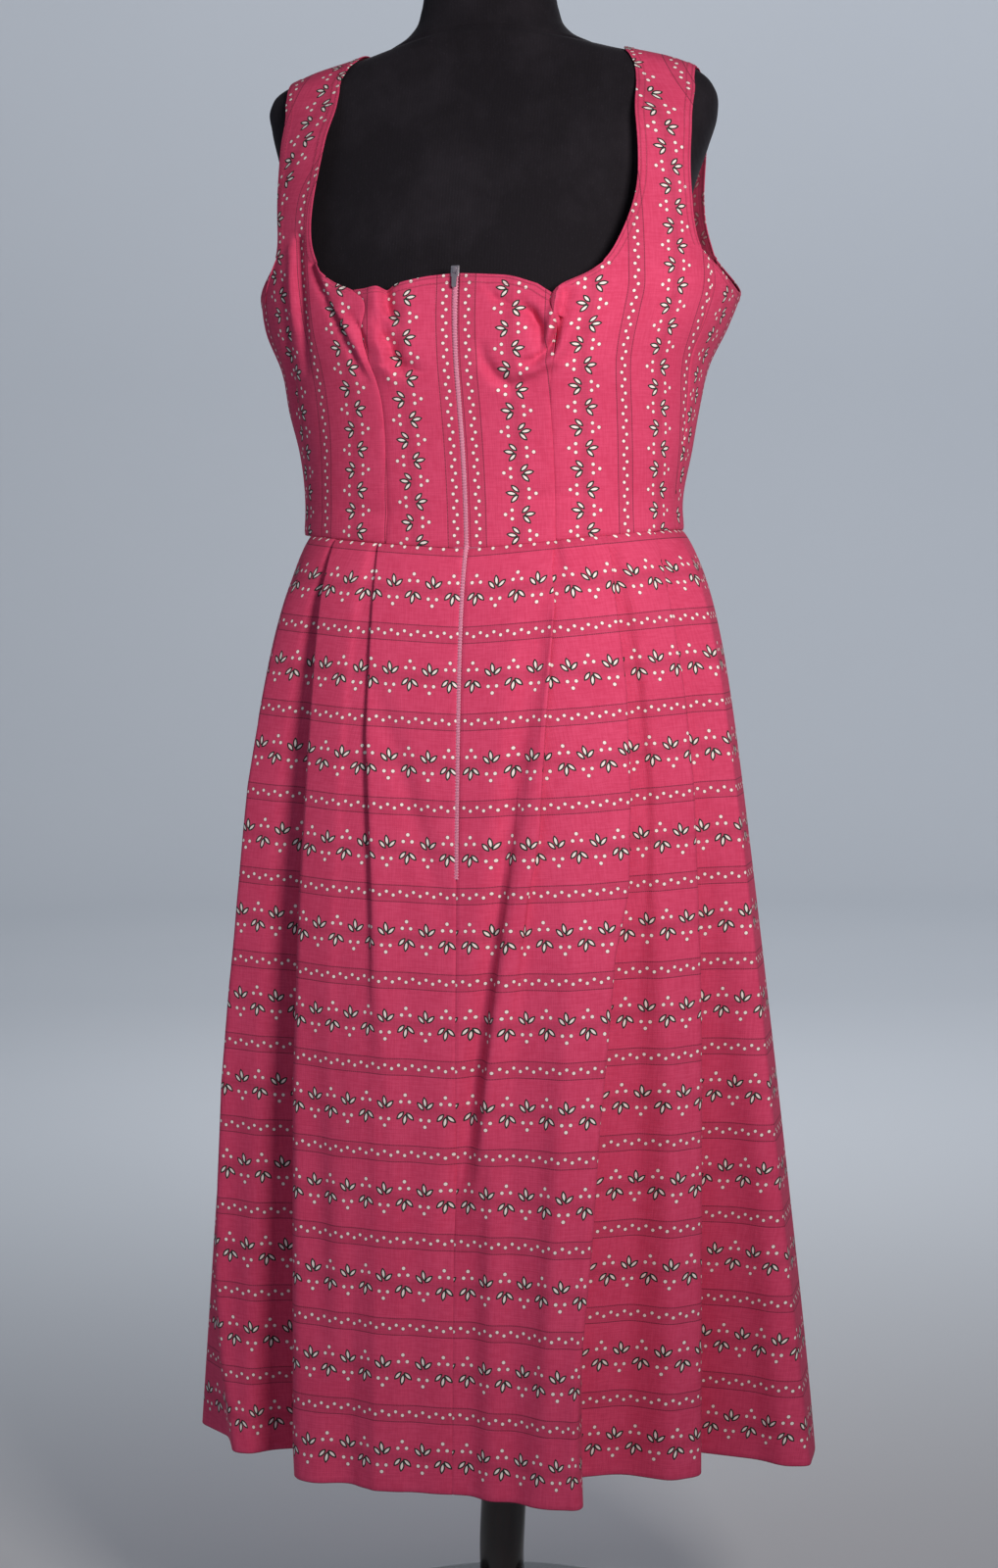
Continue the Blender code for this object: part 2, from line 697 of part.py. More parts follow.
def waist_line(side, back):
    """Arc lengths and points of a quarter of the waist, from its centre line to the side."""
    start = math.pi if back else 0.0
    angles = side * np.linspace(start, math.pi / 2, 400)
    points = dress_point(angles, waist_height(angles))
    steps = np.linalg.norm(np.diff(points[:, :2], axis=0), axis=1)
    return np.concatenate([[0], np.cumsum(steps)]), points


def waist_place(line, arc):
    """The points at these arc lengths along the waist, and which way is outwards there."""
    lengths, points = line

    def place_at(at):
        return np.stack([np.interp(at, lengths, column) for column in points.T], axis=-1)

    place = place_at(arc)
    tangent = (place_at(arc + 0.002) - place_at(arc - 0.002))[:, :2]
    tangent /= np.linalg.norm(tangent, axis=1, keepdims=True)
    normal = np.column_stack([-tangent[:, 1], tangent[:, 0]])
    outward = np.sign((normal * (place[:, :2] - [CENTRE_X, 0])).sum(axis=1, keepdims=True))
    return place, normal * outward


def flare_share(level):
    """How much of its way outwards the skirt has gone at this share of its length."""
    spring = HIP_SPRING * (1 - math.exp(-level / HIP_DEPTH))
    return spring + (1 - HIP_SPRING) * level**FLARE_POWER


def quarter(side, back, level):
    """Close points of a quarter of the skirt at this level, from its centre line to the side."""
    line = waist_line(side, back)
    anchors = quarter_anchors(side, back, line[0][-1])
    rows = []
    for anchor in anchors:
        opened = 0.0
        billow = 0.0
        if anchor.release < 1.0:
            opened = float(ease(level, 0, anchor.release))
            billow = anchor.billow * math.sin(math.pi * min(level / anchor.release, 1.0))
        arc = anchor.arc + (anchor.open_arc - anchor.arc) * opened
        rows.append((arc, anchor.layer + billow, *anchor.hem))
    at = np.linspace(0, len(rows) - 1, (len(rows) - 1) * SAMPLES + 1)
    values = [np.interp(at, range(len(rows)), column) for column in np.array(rows).T]
    waist, outward = waist_place(line, values[0])
    flare = flare_share(level)
    hem = np.column_stack(values[2:])
    plan = waist[:, :2] * (1 - flare) + hem * flare + outward * values[1][:, None]
    heights = waist[:, 2] + (HEM_HEIGHT - waist[:, 2]) * level
    return np.column_stack([plan, heights]), anchors


class Section:
    """The skirt's closed section at one level, with its corners rounded.

    It runs from the centre front to the right, round the back and home. A point of it is the
    mean of the sharp section over a window on both sides, from the running sum of its points.
    """

    def __init__(self, level):
        points, self.kinds, self.steps_in = [], [], []
        for side, back in ((1, False), (1, True), (-1, True), (-1, False)):
            rows, anchors = quarter(side, back, level)
            kinds = [anchor.kind for anchor in anchors]
            arcs = [anchor.arc for anchor in anchors]
            if back == (side > 0):
                rows, arcs = rows[::-1], arcs[::-1]
                kinds = [TURNED.get(kind, kind) for kind in kinds[::-1]]
            points.append(rows[:-1])
            self.kinds += kinds[:-1]
            spans = np.abs(np.diff(arcs))
            self.steps_in += [LAYER_STEPS if span > SHORT_SPAN else 1 for span in spans]
        self.points = np.vstack(points + [points[0][:1]])
        lengths = np.linalg.norm(np.diff(self.points[:, :2], axis=0), axis=1)
        self.lengths = np.maximum(lengths, 1e-9)
        self.distance = np.concatenate([[0], np.cumsum(self.lengths)])
        middles = (self.points[1:] + self.points[:-1]) / 2
        self.sums = np.vstack([np.zeros(3), np.cumsum(middles * self.lengths[:, None], axis=0)])
        self.window = LAYER / 2 + (SOFTEST - LAYER / 2) * level**SOFTENING
        self.anchors = self.distance[::SAMPLES]

    def summed(self, at):
        """Running sum of the sharp section's points up to these distances round it."""
        total = self.distance[-1]
        turns = np.floor(at / total)
        rest = at - turns * total
        last = len(self.lengths) - 1
        row = np.clip(np.searchsorted(self.distance, rest, side="right") - 1, 0, last)
        part = (rest - self.distance[row])[:, None]
        start, end = self.points[row], self.points[row + 1]
        middle = start + (end - start) * part / self.lengths[row][:, None] / 2
        return turns[:, None] * self.sums[-1] + self.sums[row] + middle * part

    def at(self, distances):
        """Points of the rounded section at these distances from the centre front."""
        distances = np.asarray(distances, float)
        span = self.summed(distances + self.window) - self.summed(distances - self.window)
        return span / (2 * self.window)

    def stations(self, first, last):
        """Distances of the points that a panel has between two anchors."""
        found = [self.anchors[first]]
        for number in range(first, last):
            start, end = self.anchors[number], self.anchors[number + 1]
            past = min(PAST_TURN * self.window, 0.45 * (end - start))
            if self.kinds[number] == "turn_start":
                found.append((start + end) / 2)
                continue
            if self.kinds[number] == "turn_end":
                start += past
                found.append(start)
            if self.kinds[(number + 1) % len(self.kinds)] == "turn_start":
                end -= past
            found += list(np.linspace(start, end, self.steps_in[number] + 1)[1:])
        return np.array(found)


def skirt_panel(name, first, last, start_gap, end_gap):
    """A panel of the skirt between two of the section's anchors, from the waist to the hem.

    Each gap is a function of the height, the distance that the panel keeps from its seam.
    """
    grid = []
    for level in SKIRT_LEVELS:
        section = Section(level)
        places = section.stations(first, last)
        places[0] += start_gap(section.at(places[:1])[0, 2])
        places[-1] -= end_gap(section.at(places[-1:])[0, 2])
        row = section.at(places)
        if level == 0:
            row[:, 2] -= WAIST_GAP
        grid.append(row)
    return sheet(name, np.array(grid))


def half_seam(_height):
    """Half the gap of a plain seam."""
    return SEAM_GAP / 2


def centre_line():
    """Points down the centre front in the middle of the wall, from the neckline to the zip's
    end, and how far the zip's tape lies behind each."""
    heights = np.linspace(ZIP_TOP + TAPE_ABOVE, WAIST_FRONT, PRINCESS_ROWS)
    rows = [(point, TAPE_BEHIND) for point in dress_point(0.0, heights)]
    for level in SKIRT_LEVELS[1:]:
        point = Section(level).at([0.0])[0]
        if point[2] > ZIP_END - 0.001:
            rows.append((point, TAPE_BEHIND))
    return rows


def zip_tape(name):
    """The zip's tape behind the two edges, with the coil as a ridge along its middle."""
    rows = centre_line()
    points = np.array([row[0] for row in rows])
    upward = np.gradient(points, axis=0) * -1
    outward = np.column_stack([np.zeros(len(rows)), -upward[:, 2], upward[:, 1]])
    outward /= np.linalg.norm(outward, axis=1, keepdims=True)
    low, high, coil = -TAPE_THICK / 2, TAPE_THICK / 2, TAPE_THICK / 2 + COIL_HEIGHT
    profile = (
        (-TAPE_HALF, low),
        (-TAPE_HALF, high),
        (-COIL_HALF, high),
        (-COIL_HALF * 0.8, coil),
        (COIL_HALF * 0.8, coil),
        (COIL_HALF, high),
        (TAPE_HALF, high),
        (TAPE_HALF, low),
    )
    sections = []
    for point, out, (_, behind) in zip(points, outward, rows):
        sections.append([point + (x, 0, 0) + out * (raised - behind) for x, raised in profile])
    return loft(name, sections, "zip")


def slider_frame():
    """Where the slider's middle lies on the wall, and how far the wall there leans back."""
    heights = np.array([SLIDER_HEIGHT - 0.004, SLIDER_HEIGHT, SLIDER_HEIGHT + 0.004])
    low, middle, high = dress_point(0.0, heights)
    lean = math.atan2(low[1] - high[1], high[2] - low[2])
    return middle, lean


def block(name, size, middle, collection):
    """A plain block with its middle at this place of its own frame, set on the slider's frame."""
    mesh = bpy.data.meshes.new(name)
    shape = bmesh.new()
    bmesh.ops.create_cube(shape, size=1.0)
    bmesh.ops.transform(shape, matrix=Matrix.Diagonal((*size, 1.0)), verts=shape.verts)
    bmesh.ops.transform(shape, matrix=Matrix.Translation(middle), verts=shape.verts)
    shape.to_mesh(mesh)
    shape.free()
    obj = bpy.data.objects.new(name, mesh)
    bpy.data.collections[collection].objects.link(obj)
    place, lean = slider_frame()
    obj.location = place
    obj.rotation_euler = (lean, 0.0, 0.0)
    return obj


def cutter(obj):
    """Keep a block out of the render: it only joins or cuts another."""
    obj.hide_render = True
    obj.display_type = "WIRE"
    return obj


def zip_slider(name):
    """The slider: a rounded block over the coil, with a bridge for the pull tab."""
    front = SLIDER_BEHIND + SLIDER_THICK
    middle = (0, -(SLIDER_BEHIND + front) / 2, 0)
    obj = block(name, (SLIDER_WIDTH, SLIDER_THICK, SLIDER_LENGTH), middle, "dirndl_on_form")
    obj.data.materials.append(material("zip_metal"))
    edges = obj.modifiers.new("Edges", "BEVEL")
    edges.width = 0.0006
    edges.segments = 2
    height = BRIDGE_OPENING + BRIDGE_THICK + 0.0002
    bridge_middle = (0, -(front - 0.0002 + height / 2), 0)
    bridge = block("bridge_block", (BRIDGE_WIDTH, height, BRIDGE_LENGTH), bridge_middle, "cutters")
    opening_middle = (0, -(front + BRIDGE_OPENING / 2), 0)
    opening_size = (SLIDER_WIDTH, BRIDGE_OPENING, BRIDGE_LENGTH - 2 * BRIDGE_LEG)
    opening = block("bridge_opening", opening_size, opening_middle, "cutters")
    for operation, operand in (("UNION", cutter(bridge)), ("DIFFERENCE", cutter(opening))):
        joined = obj.modifiers.new(operation.title(), "BOOLEAN")
        joined.operation = operation
        joined.solver = "EXACT"
        joined.object = operand
    return obj


def zip_pull_tab(name):
    """The pull tab: a flat plate with a window round the bridge, hung on its top bar."""
    curve = bpy.data.curves.new(name, "CURVE")
    curve.dimensions = "2D"
    curve.fill_mode = "BOTH"
    curve.extrude = TAB_THICK / 2
    half, bottom, top = TAB_WIDTH / 2, -TAB_LENGTH + TAB_BAR / 2, TAB_BAR / 2
    ends = [math.radians(angle) for angle in (180, 210, 240, 270, 300, 330, 360)]
    radius = half * TAB_TAPER
    outline = [(-half, top), (-half, -TAB_WINDOW - TAB_BAR)]
    outline += [(radius * math.cos(a), bottom + radius + radius * math.sin(a)) for a in ends]
    outline += [(half, -TAB_WINDOW - TAB_BAR), (half, top)]
    inside = half - TAB_ARM
    window = [(-inside, -top), (inside, -top), (inside, -TAB_WINDOW), (-inside, -TAB_WINDOW)]
    for points in (outline, window):
        spline = curve.splines.new("POLY")
        spline.points.add(len(points) - 1)
        spline.use_cyclic_u = True
        for point, (x, y) in zip(spline.points, points):
            point.co = (x, y, 0, 1)
    obj = bpy.data.objects.new(name, curve)
    curve.materials.append(material("zip_metal"))
    bpy.data.collections["dirndl_on_form"].objects.link(obj)
    place, lean = slider_frame()
    reach = SLIDER_BEHIND + SLIDER_THICK + BRIDGE_OPENING / 2
    outward = np.array([0.0, -math.cos(lean), -math.sin(lean)])
    obj.location = place + outward * reach
    obj.rotation_euler = (lean + math.pi / 2, 0.0, 0.0)
    return obj


def form_torso(name):
    """The smooth limbless form with its neck."""
    angles = np.arange(FORM_POINTS) * 2 * math.pi / FORM_POINTS

    def sizes(height):
        return ring_sizes(FORM_RINGS, height)

    sections = [section_point(angles, ring.height, sizes) for ring in FORM_RINGS]
    return loft(name, sections, "form")


def stand_pole(name):
    """The barley-twist pole: a lobed section that turns as it rises."""
    low, high = FOOT_HEIGHT + SEAM_GAP, FORM_BOTTOM - SEAM_GAP
    angles = np.arange(POLE_POINTS) * 2 * math.pi / POLE_POINTS
    sections = []
    for height in np.linspace(low, high, POLE_SECTIONS):
        turn = 2 * math.pi * height / (POLE_PITCH * POLE_LOBES)
        radius = POLE_RADIUS - POLE_LOBE_HEIGHT * (1 - np.cos(POLE_LOBES * (angles - turn))) / 2
        across, deep = radius * np.cos(angles), radius * np.sin(angles)
        sections.append(np.column_stack([across, deep, np.full(POLE_POINTS, height)]))
    return loft(name, sections, "stand")


def stand_foot(name):
    """The round foot: a turned disc with a rounded upper edge, flat underneath."""
    edge = FOOT_HEIGHT * 0.6
    arc = [math.radians(angle) for angle in (90, 60, 30, 0)]
    profile = [(0.0, FOOT_HEIGHT)]
    for angle in arc:
        across = FOOT_RADIUS - edge + edge * math.cos(angle)
        profile.append((across, FOOT_HEIGHT - edge + edge * math.sin(angle)))
    profile += [(FOOT_RADIUS, 0.003), (FOOT_RADIUS - 0.003, 0.0), (0.0, 0.0)]
    mesh = bpy.data.meshes.new(name)
    lines = [(i, i + 1) for i in range(len(profile) - 1)]
    mesh.from_pydata([(x, 0.0, z) for x, z in profile], lines, [])
    obj = add_object(name, mesh, "stand")
    turned = obj.modifiers.new("Turned", "SCREW")
    turned.axis = "Z"
    turned.angle = 2 * math.pi
    turned.steps = FOOT_STEPS
    turned.render_steps = FOOT_STEPS
    turned.use_merge_vertices = True
    turned.merge_threshold = 0.00001
    turned.use_normal_calculate = True
    return obj


def main():
    """Build every piece of the dress, the form and the stand."""
    clear_scene()
    for name in ("dirndl_on_form", "cutters"):
        bpy.context.scene.collection.children.link(bpy.data.collections.new(name))
    for side, name in ((-1, "left"), (1, "right")):
        centre_panel(f"front_centre_{name}", side, 9)
        side_with_strap(
            f"front_side_{name}", side, FRONT_STRAP, FRONT_PRINCESS, FRONT_SIDE_SEAM, 7
        )
        underarm_panel(f"side_panel_{name}", side, 7)
        side_with_strap(f"back_side_{name}", side, BACK_STRAP, BACK_PRINCESS, BACK_SIDE_SEAM, 7)
    back_centre_panel("back_centre", 9)
    skirt_panel("skirt_front_right", 0, QUARTER, zip_half_gap, half_seam)
    skirt_panel("skirt_back", QUARTER, 3 * QUARTER, half_seam, half_seam)
    skirt_panel("skirt_front_left", 3 * QUARTER, 4 * QUARTER, half_seam, zip_half_gap)
    zip_tape("zip_tape")
    zip_slider("zip_slider")
    zip_pull_tab("zip_pull_tab")
    form_torso("form_torso")
    stand_pole("stand_pole")
    stand_foot("stand_foot")


main()
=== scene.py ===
"""The looks of a sleeveless pleated dirndl on a limbless dress form with a barley-twist stand.

Metres, +Z up. The front faces -Y, left is -X, and the origin is on the floor under the pole.
Every cloth piece is a thin closed shell on its solid's own form, worked out on a fine grid.
"""

from __future__ import annotations

import logging
import math
from dataclasses import dataclass
from enum import Enum
from typing import Callable, NamedTuple

import bmesh
import bpy
import numpy as np
from mathutils import Matrix

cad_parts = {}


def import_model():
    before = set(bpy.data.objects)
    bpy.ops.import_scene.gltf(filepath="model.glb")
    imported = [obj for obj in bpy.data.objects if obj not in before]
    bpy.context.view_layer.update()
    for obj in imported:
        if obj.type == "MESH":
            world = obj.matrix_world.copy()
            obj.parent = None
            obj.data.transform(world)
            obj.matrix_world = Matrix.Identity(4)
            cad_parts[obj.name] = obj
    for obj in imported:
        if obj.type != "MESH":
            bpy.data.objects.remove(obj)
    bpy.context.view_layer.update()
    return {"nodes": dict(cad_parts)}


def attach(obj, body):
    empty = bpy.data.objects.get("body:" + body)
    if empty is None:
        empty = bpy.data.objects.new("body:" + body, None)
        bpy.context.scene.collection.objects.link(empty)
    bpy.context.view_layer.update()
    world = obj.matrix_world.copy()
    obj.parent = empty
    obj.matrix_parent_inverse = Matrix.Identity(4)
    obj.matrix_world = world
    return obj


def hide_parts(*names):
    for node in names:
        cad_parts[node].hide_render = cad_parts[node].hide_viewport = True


Array = np.ndarray
Piece = bpy.types.Object
Material = bpy.types.Material
Tree = bpy.types.NodeTree
Socket = bpy.types.NodeSocket
Rows = tuple[tuple[float, ...], ...]
LOG = logging.getLogger("dirndl")
TAU = 2 * math.pi


# Small tools


def smooth_table(at: Array | float, places: Array, values: Array) -> Array:
    """Cubic curve through the rows of a table, level beyond its ends.

    Args:
        at: where the curve is read.
        places: the rows' places, rising.
        values: the rows' values.

    Returns:
        The curve's values.
    """
    places, values = np.asarray(places, float), np.asarray(values, float)
    slopes = np.gradient(values, places)
    at = np.clip(np.asarray(at, float), places[0], places[-1])
    row = np.clip(np.searchsorted(places, at) - 1, 0, len(places) - 2)
    span = places[row + 1] - places[row]
    u = (at - places[row]) / span
    return (
        (2 * u**3 - 3 * u**2 + 1) * values[row]
        + (u**3 - 2 * u**2 + u) * span * slopes[row]
        + (3 * u**2 - 2 * u**3) * values[row + 1]
        + (u**3 - u**2) * span * slopes[row + 1]
    )


def ease(at: Array | float, start: float, end: float) -> Array:
    """0 before start, 1 after end, and a smooth step between."""
    u = np.clip((np.asarray(at, float) - start) / (end - start), 0.0, 1.0)
    return u * u * (3 - 2 * u)


def unit(vectors: Array) -> Array:
    """Vectors of length 1 in the same directions."""
    return vectors / np.maximum(np.linalg.norm(vectors, axis=-1, keepdims=True), 1e-12)


def run_length(points: Array, axis: int) -> Array:
    """Distance along the rows (axis 1) or columns (axis 0) of a grid of points, from its start."""
    steps = np.linalg.norm(np.diff(points, axis=axis), axis=-1)
    total = np.cumsum(steps, axis=axis)
    return np.insert(total, 0, 0.0, axis=axis)


def grid_normals(grid: Array) -> Array:
    """Unit normals of a grid of points: the slope down the columns crossed with the slope along
    the rows."""
    return unit(np.cross(np.gradient(grid, axis=0), np.gradient(grid, axis=1)))


def add_object(name: str, data: bpy.types.ID) -> Piece:
    """A new object in the scene."""
    obj = bpy.data.objects.new(name, data)
    bpy.context.scene.collection.objects.link(obj)
    return obj


def make_mesh(name: str, points: Array, *faces: Array, uvs: dict[str, Array] | None = None) -> Piece:
    """A smooth-shaded mesh object from whole arrays.

    Args:
        name: the object's name.
        points: its points, one row each.
        faces: arrays of faces, with the point numbers of one face in each row.
        uvs: for each UV map, a value for each point.

    Returns:
        The new object, linked to the scene.
    """
    mesh = bpy.data.meshes.new(name)
    mesh.from_pydata(points.reshape(-1, 3).tolist(), [], [face for part in faces for face in part.tolist()])
    loops = np.empty(len(mesh.loops), dtype=np.int64)
    mesh.loops.foreach_get("vertex_index", loops)
    for label, values in (uvs or {}).items():
        layer = mesh.uv_layers.new(name=label)
        layer.data.foreach_set("uv", values.reshape(-1, 2)[loops].astype(np.float32).ravel())
    mesh.shade_smooth()
    mesh.update()
    return add_object(name, mesh)


def grid_quads(rows: int, columns: int, wrap: bool = False) -> Array:
    """Faces of a grid of points, row by row; wrap also joins the last column to the first."""
    index = np.arange(rows * columns).reshape(rows, columns)
    if wrap:
        index = np.hstack([index, index[:, :1]])
    corners = (index[:-1, :-1], index[1:, :-1], index[1:, 1:], index[:-1, 1:])
    return np.stack(corners, axis=-1).reshape(-1, 4)


def turned_rings(radius: Array, height: Array, count: int) -> Array:
    """Rings of points about the upright axis: the radius times the cosine and the sine of even
    angles, at the height."""
    angles = np.arange(count) * TAU / count
    return np.stack(np.broadcast_arrays(radius * np.cos(angles), radius * np.sin(angles), height), axis=-1)


def closed_body(name: str, rings: Array, poles: Array) -> Piece:
    """A body through rings of points, closed by triangles to the pole at each of its ends."""
    count, columns = rings.shape[:2]
    total = count * columns
    around = np.arange(columns)
    following = np.roll(around, -1)
    last = total - columns
    first_cap = np.stack([around, np.full(columns, total), following], axis=1)
    last_cap = np.stack([around + last, following + last, np.full(columns, total + 1)], axis=1)
    points = np.vstack([rings.reshape(-1, 3), poles])
    obj = make_mesh(name, points, grid_quads(count, columns, True), first_cap, last_cap)
    fix_normals(obj)
    return obj


def fix_normals(obj: Piece) -> None:
    """Turn a mesh's faces so that they all point outwards."""
    shape = bmesh.new()
    shape.from_mesh(obj.data)
    bmesh.ops.recalc_face_normals(shape, faces=shape.faces)
    shape.to_mesh(obj.data)
    shape.free()


def read_line(at: Array, lengths: Array, points: Array) -> Array:
    """Points of a line at these distances along it, on the straights between its own points."""
    return np.stack([np.interp(at, lengths, column) for column in points.T], axis=-1)


# Cloth shells


class Hem(NamedTuple):
    """How thick a cloth is and how far its rounded edge stands out."""

    thickness: float = 0.0008
    roundness: float = 0.0004


def cloth_shell(name: str, grid: Array, pattern: Array, finish: Array, hem: Hem = Hem()) -> Piece:
    """A closed shell of cloth: the grid moved half a thickness out and in along its normals,
    joined by a strip that is rounded with one row in the middle.

    Args:
        name: the piece's name.
        grid: rows by columns of points, whose normals face the right side of the cloth.
        pattern: the printed pattern's place at each point, in metres.
        finish: distance from the nearest stitched edge, and along it, at each point.
        hem: the cloth's thickness and edge.

    Returns:
        The piece. Its first material is the right side, its second the wrong side.
    """
    rows, columns = grid.shape[:2]
    normals = grid_normals(grid)
    half = hem.thickness / 2
    count = rows * columns
    index = np.arange(count).reshape(rows, columns)
    around = np.concatenate([index[0, :-1], index[:-1, -1], index[-1, :0:-1], index[:0:-1, 0]])
    inner = np.concatenate([index[1, :-1], index[:-1, -2], index[-2, :0:-1], index[:0:-1, 1]])
    flat = grid.reshape(-1, 3)
    rim = flat[around] + unit(flat[around] - flat[inner]) * hem.roundness
    points = np.vstack([(grid + normals * half).reshape(-1, 3), (grid - normals * half).reshape(-1, 3), rim])
    front = grid_quads(rows, columns)
    back = front[:, ::-1] + count
    edge = 2 * count + np.arange(len(around))
    following, edge_next = np.roll(around, -1), np.roll(edge, -1)
    outer_strip = np.stack([around, following, edge_next, edge], axis=1)
    inner_strip = np.stack([edge, edge_next, following + count, around + count], axis=1)
    quads = np.vstack([front, outer_strip, back, inner_strip])
    maps = {}
    for label, values in (("Pattern", pattern), ("Finish", finish)):
        values = values.reshape(-1, 2)
        maps[label] = np.vstack([values, values, values[around]])
    obj = make_mesh(name, points, quads, uvs=maps)
    side = np.zeros(len(quads), dtype=np.int32)
    side[len(front) + len(around) :] = 1
    obj.data.polygons.foreach_set("material_index", side)
    return obj


class GridEdge(Enum):
    """An edge of a panel's grid."""

    TOP = "top"
    START = "start"
    END = "end"


def from_edge(grid: Array, edge: GridEdge) -> Array:
    """The grid turned so that the named edge is its first row."""
    if edge is GridEdge.TOP:
        return grid
    turned = np.swapaxes(grid, 0, 1)
    return turned if edge is GridEdge.START else turned[::-1]


def back_from(values: Array, edge: GridEdge) -> Array:
    """Turn values that were worked out from an edge back to the grid's own order."""
    if edge is GridEdge.TOP:
        return values
    turned = values if edge is GridEdge.START else values[::-1]
    return np.swapaxes(turned, 0, 1)


def inset_line(grid: Array, edge: GridEdge, first: int, last: int, inset: float) -> tuple[Array, Array]:
    """The line that keeps a distance from an edge: along each cross line of the grid, the point
    this far in from the edge.

    Args:
        grid: the panel's points.
        edge: which edge.
        first, last: the part of the edge, as point numbers.
        inset: the distance, in metres.

    Returns:
        The line's points and the cloth's normals there.
    """
    points = from_edge(grid, edge)[:, first:last]
    normals = from_edge(grid_normals(grid), edge)[:, first:last]
    reach = run_length(points, 0)
    row = np.clip((reach < inset).sum(axis=0) - 1, 0, len(points) - 2)
    column = np.arange(points.shape[1])
    start, end = reach[row, column], reach[row + 1, column]
    share = ((inset - start) / np.maximum(end - start, 1e-9))[:, None]
    line = points[row, column] * (1 - share) + points[row + 1, column] * share
    facing = normals[row, column] * (1 - share) + normals[row + 1, column] * share
    return line, unit(facing)


@dataclass
class Stitching:
    """Sewn lines: each stitch is a small spindle of six points that lies on the cloth."""

    pitch: float = 0.0030
    length: float = 0.0022
    thickness: float = 0.00055
    lift: float = 0.00055
    tip_lift: float = 0.4  # of the lift, at the stitch's two ends

    def stitches(self, line: Array, normals: Array) -> tuple[Array, Array]:
        """Points and faces of the stitches along a line.

        Each stitch runs from before to after its middle; its waist has four points, to both
        sides and above and below.

        Args:
            line: points along the sewn line.
            normals: the cloth's normals there.

        Returns:
            The points and the triangles, as quads whose last two points are the same tip.
        """
        lengths = run_length(line[None], 1)[0]
        middles = np.arange(self.pitch / 2, lengths[-1], self.pitch)
        if not len(middles):
            return np.empty((0, 3)), np.empty((0, 3), dtype=int)
        facing = unit(read_line(middles, lengths, normals))
        start = read_line(middles - self.length / 2, lengths, line)
        end = read_line(middles + self.length / 2, lengths, line)
        middle = read_line(middles, lengths, line) + facing * self.lift
        across = unit(np.cross(end - start, facing)) * self.thickness / 2
        up = facing * self.thickness / 2
        ring = [middle + across, middle + up, middle - across, middle - up]
        tip = facing * self.lift * self.tip_lift
        points = np.stack([start + tip, *ring, end + tip], axis=1)
        faces = []
        for i in range(4):
            j = (i + 1) % 4
            faces += [(0, 1 + i, 1 + j), (5, 1 + j, 1 + i)]
        faces = np.array(faces)[None] + 6 * np.arange(len(middles))[:, None, None]
        return points.reshape(-1, 3), faces.reshape(-1, 3)

    def build(self, name: str, lines: list[tuple[Array, Array]], thread: Material) -> Piece:
        """All the stitches of a garment part as one piece."""
        points, faces, used = [], [], 0
        for line, normals in lines:
            own_points, own_faces = self.stitches(line, normals)
            points.append(own_points)
            faces.append(own_faces + used)
            used += len(own_points)
        return dress(make_mesh(name, np.vstack(points), np.vstack(faces)), "cloth", [thread])


def dress(obj: Piece, slot: str, finishes: list[Material], *nodes: str) -> Piece:
    """Give a piece its finishes, let it ride on the dress's body, and hide the nodes that it
    stands for."""
    for finish in finishes:
        obj.data.materials.append(finish)
    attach(obj, "root")
    if nodes:
        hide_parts(*nodes)
    LOG.info("%s: %d faces", obj.name, len(obj.data.polygons))
    return obj


# Finishes


def linear(colour: str) -> tuple[float, float, float, float]:
    """An sRGB hex colour as linear red, green, blue and alpha."""
    parts = [int(colour[i : i + 2], 16) / 255 for i in (1, 3, 5)]
    straight = [part / 12.92 if part <= 0.04045 else ((part + 0.055) / 1.055) ** 2.4 for part in parts]
    return (straight[0], straight[1], straight[2], 1.0)


def add(tree: Tree, kind: str, inputs: dict | None = None, out: int | str = 0, **settings) -> Socket:
    """Add a node with its settings, values and links.

    Args:
        tree: the material's nodes.
        kind: the node's type, without the words ShaderNode.
        inputs: a value, or the output that is linked, for each input's name or number.
        out: the output to return.
        settings: the node's own properties.

    Returns:
        One output of the node, or nothing where it has none.
    """
    node = tree.nodes.new("ShaderNode" + kind)
    for name, value in settings.items():
        setattr(node, name, value)
    for key, value in (inputs or {}).items():
        if isinstance(value, Socket):
            tree.links.new(value, node.inputs[key])
        else:
            node.inputs[key].default_value = value
    return node.outputs[out] if node.outputs else None


def wave_scale(pitch_mm: float) -> float:
    """The Wave texture's scale at which a thread or rib of this pitch takes half a wave, which is
    a twentieth of pi metres long at scale 1."""
    return 1000 / pitch_mm / 20 * math.pi


def new_material(name: str) -> tuple[Material, Tree]:
    """An empty node material."""
    made = bpy.data.materials.new(name)
    made.use_nodes = True
    made.node_tree.nodes.clear()
    return made, made.node_tree


def finish_surface(tree: Tree, inputs: dict) -> None:
    """Close a material with its surface shader and output."""
    surface = add(tree, "BsdfPrincipled", inputs)
    add(tree, "OutputMaterial", {"Surface": surface})


RGBA = {"out": 2, "data_type": "RGBA"}  # a Mix node's settings for colours


class Petal(NamedTuple):
    """A petal of the small printed flower, in millimetres from the flower's place on the
    band's middle line: its middle, its lean in degrees and its half length and half width."""

    across: float
    up: float
    lean: float
    half_length: float
    half_width: float


class Dot(NamedTuple):
    """A printed dot, in millimetres from the middle of its group."""

    across: float
    up: float
    radius: float


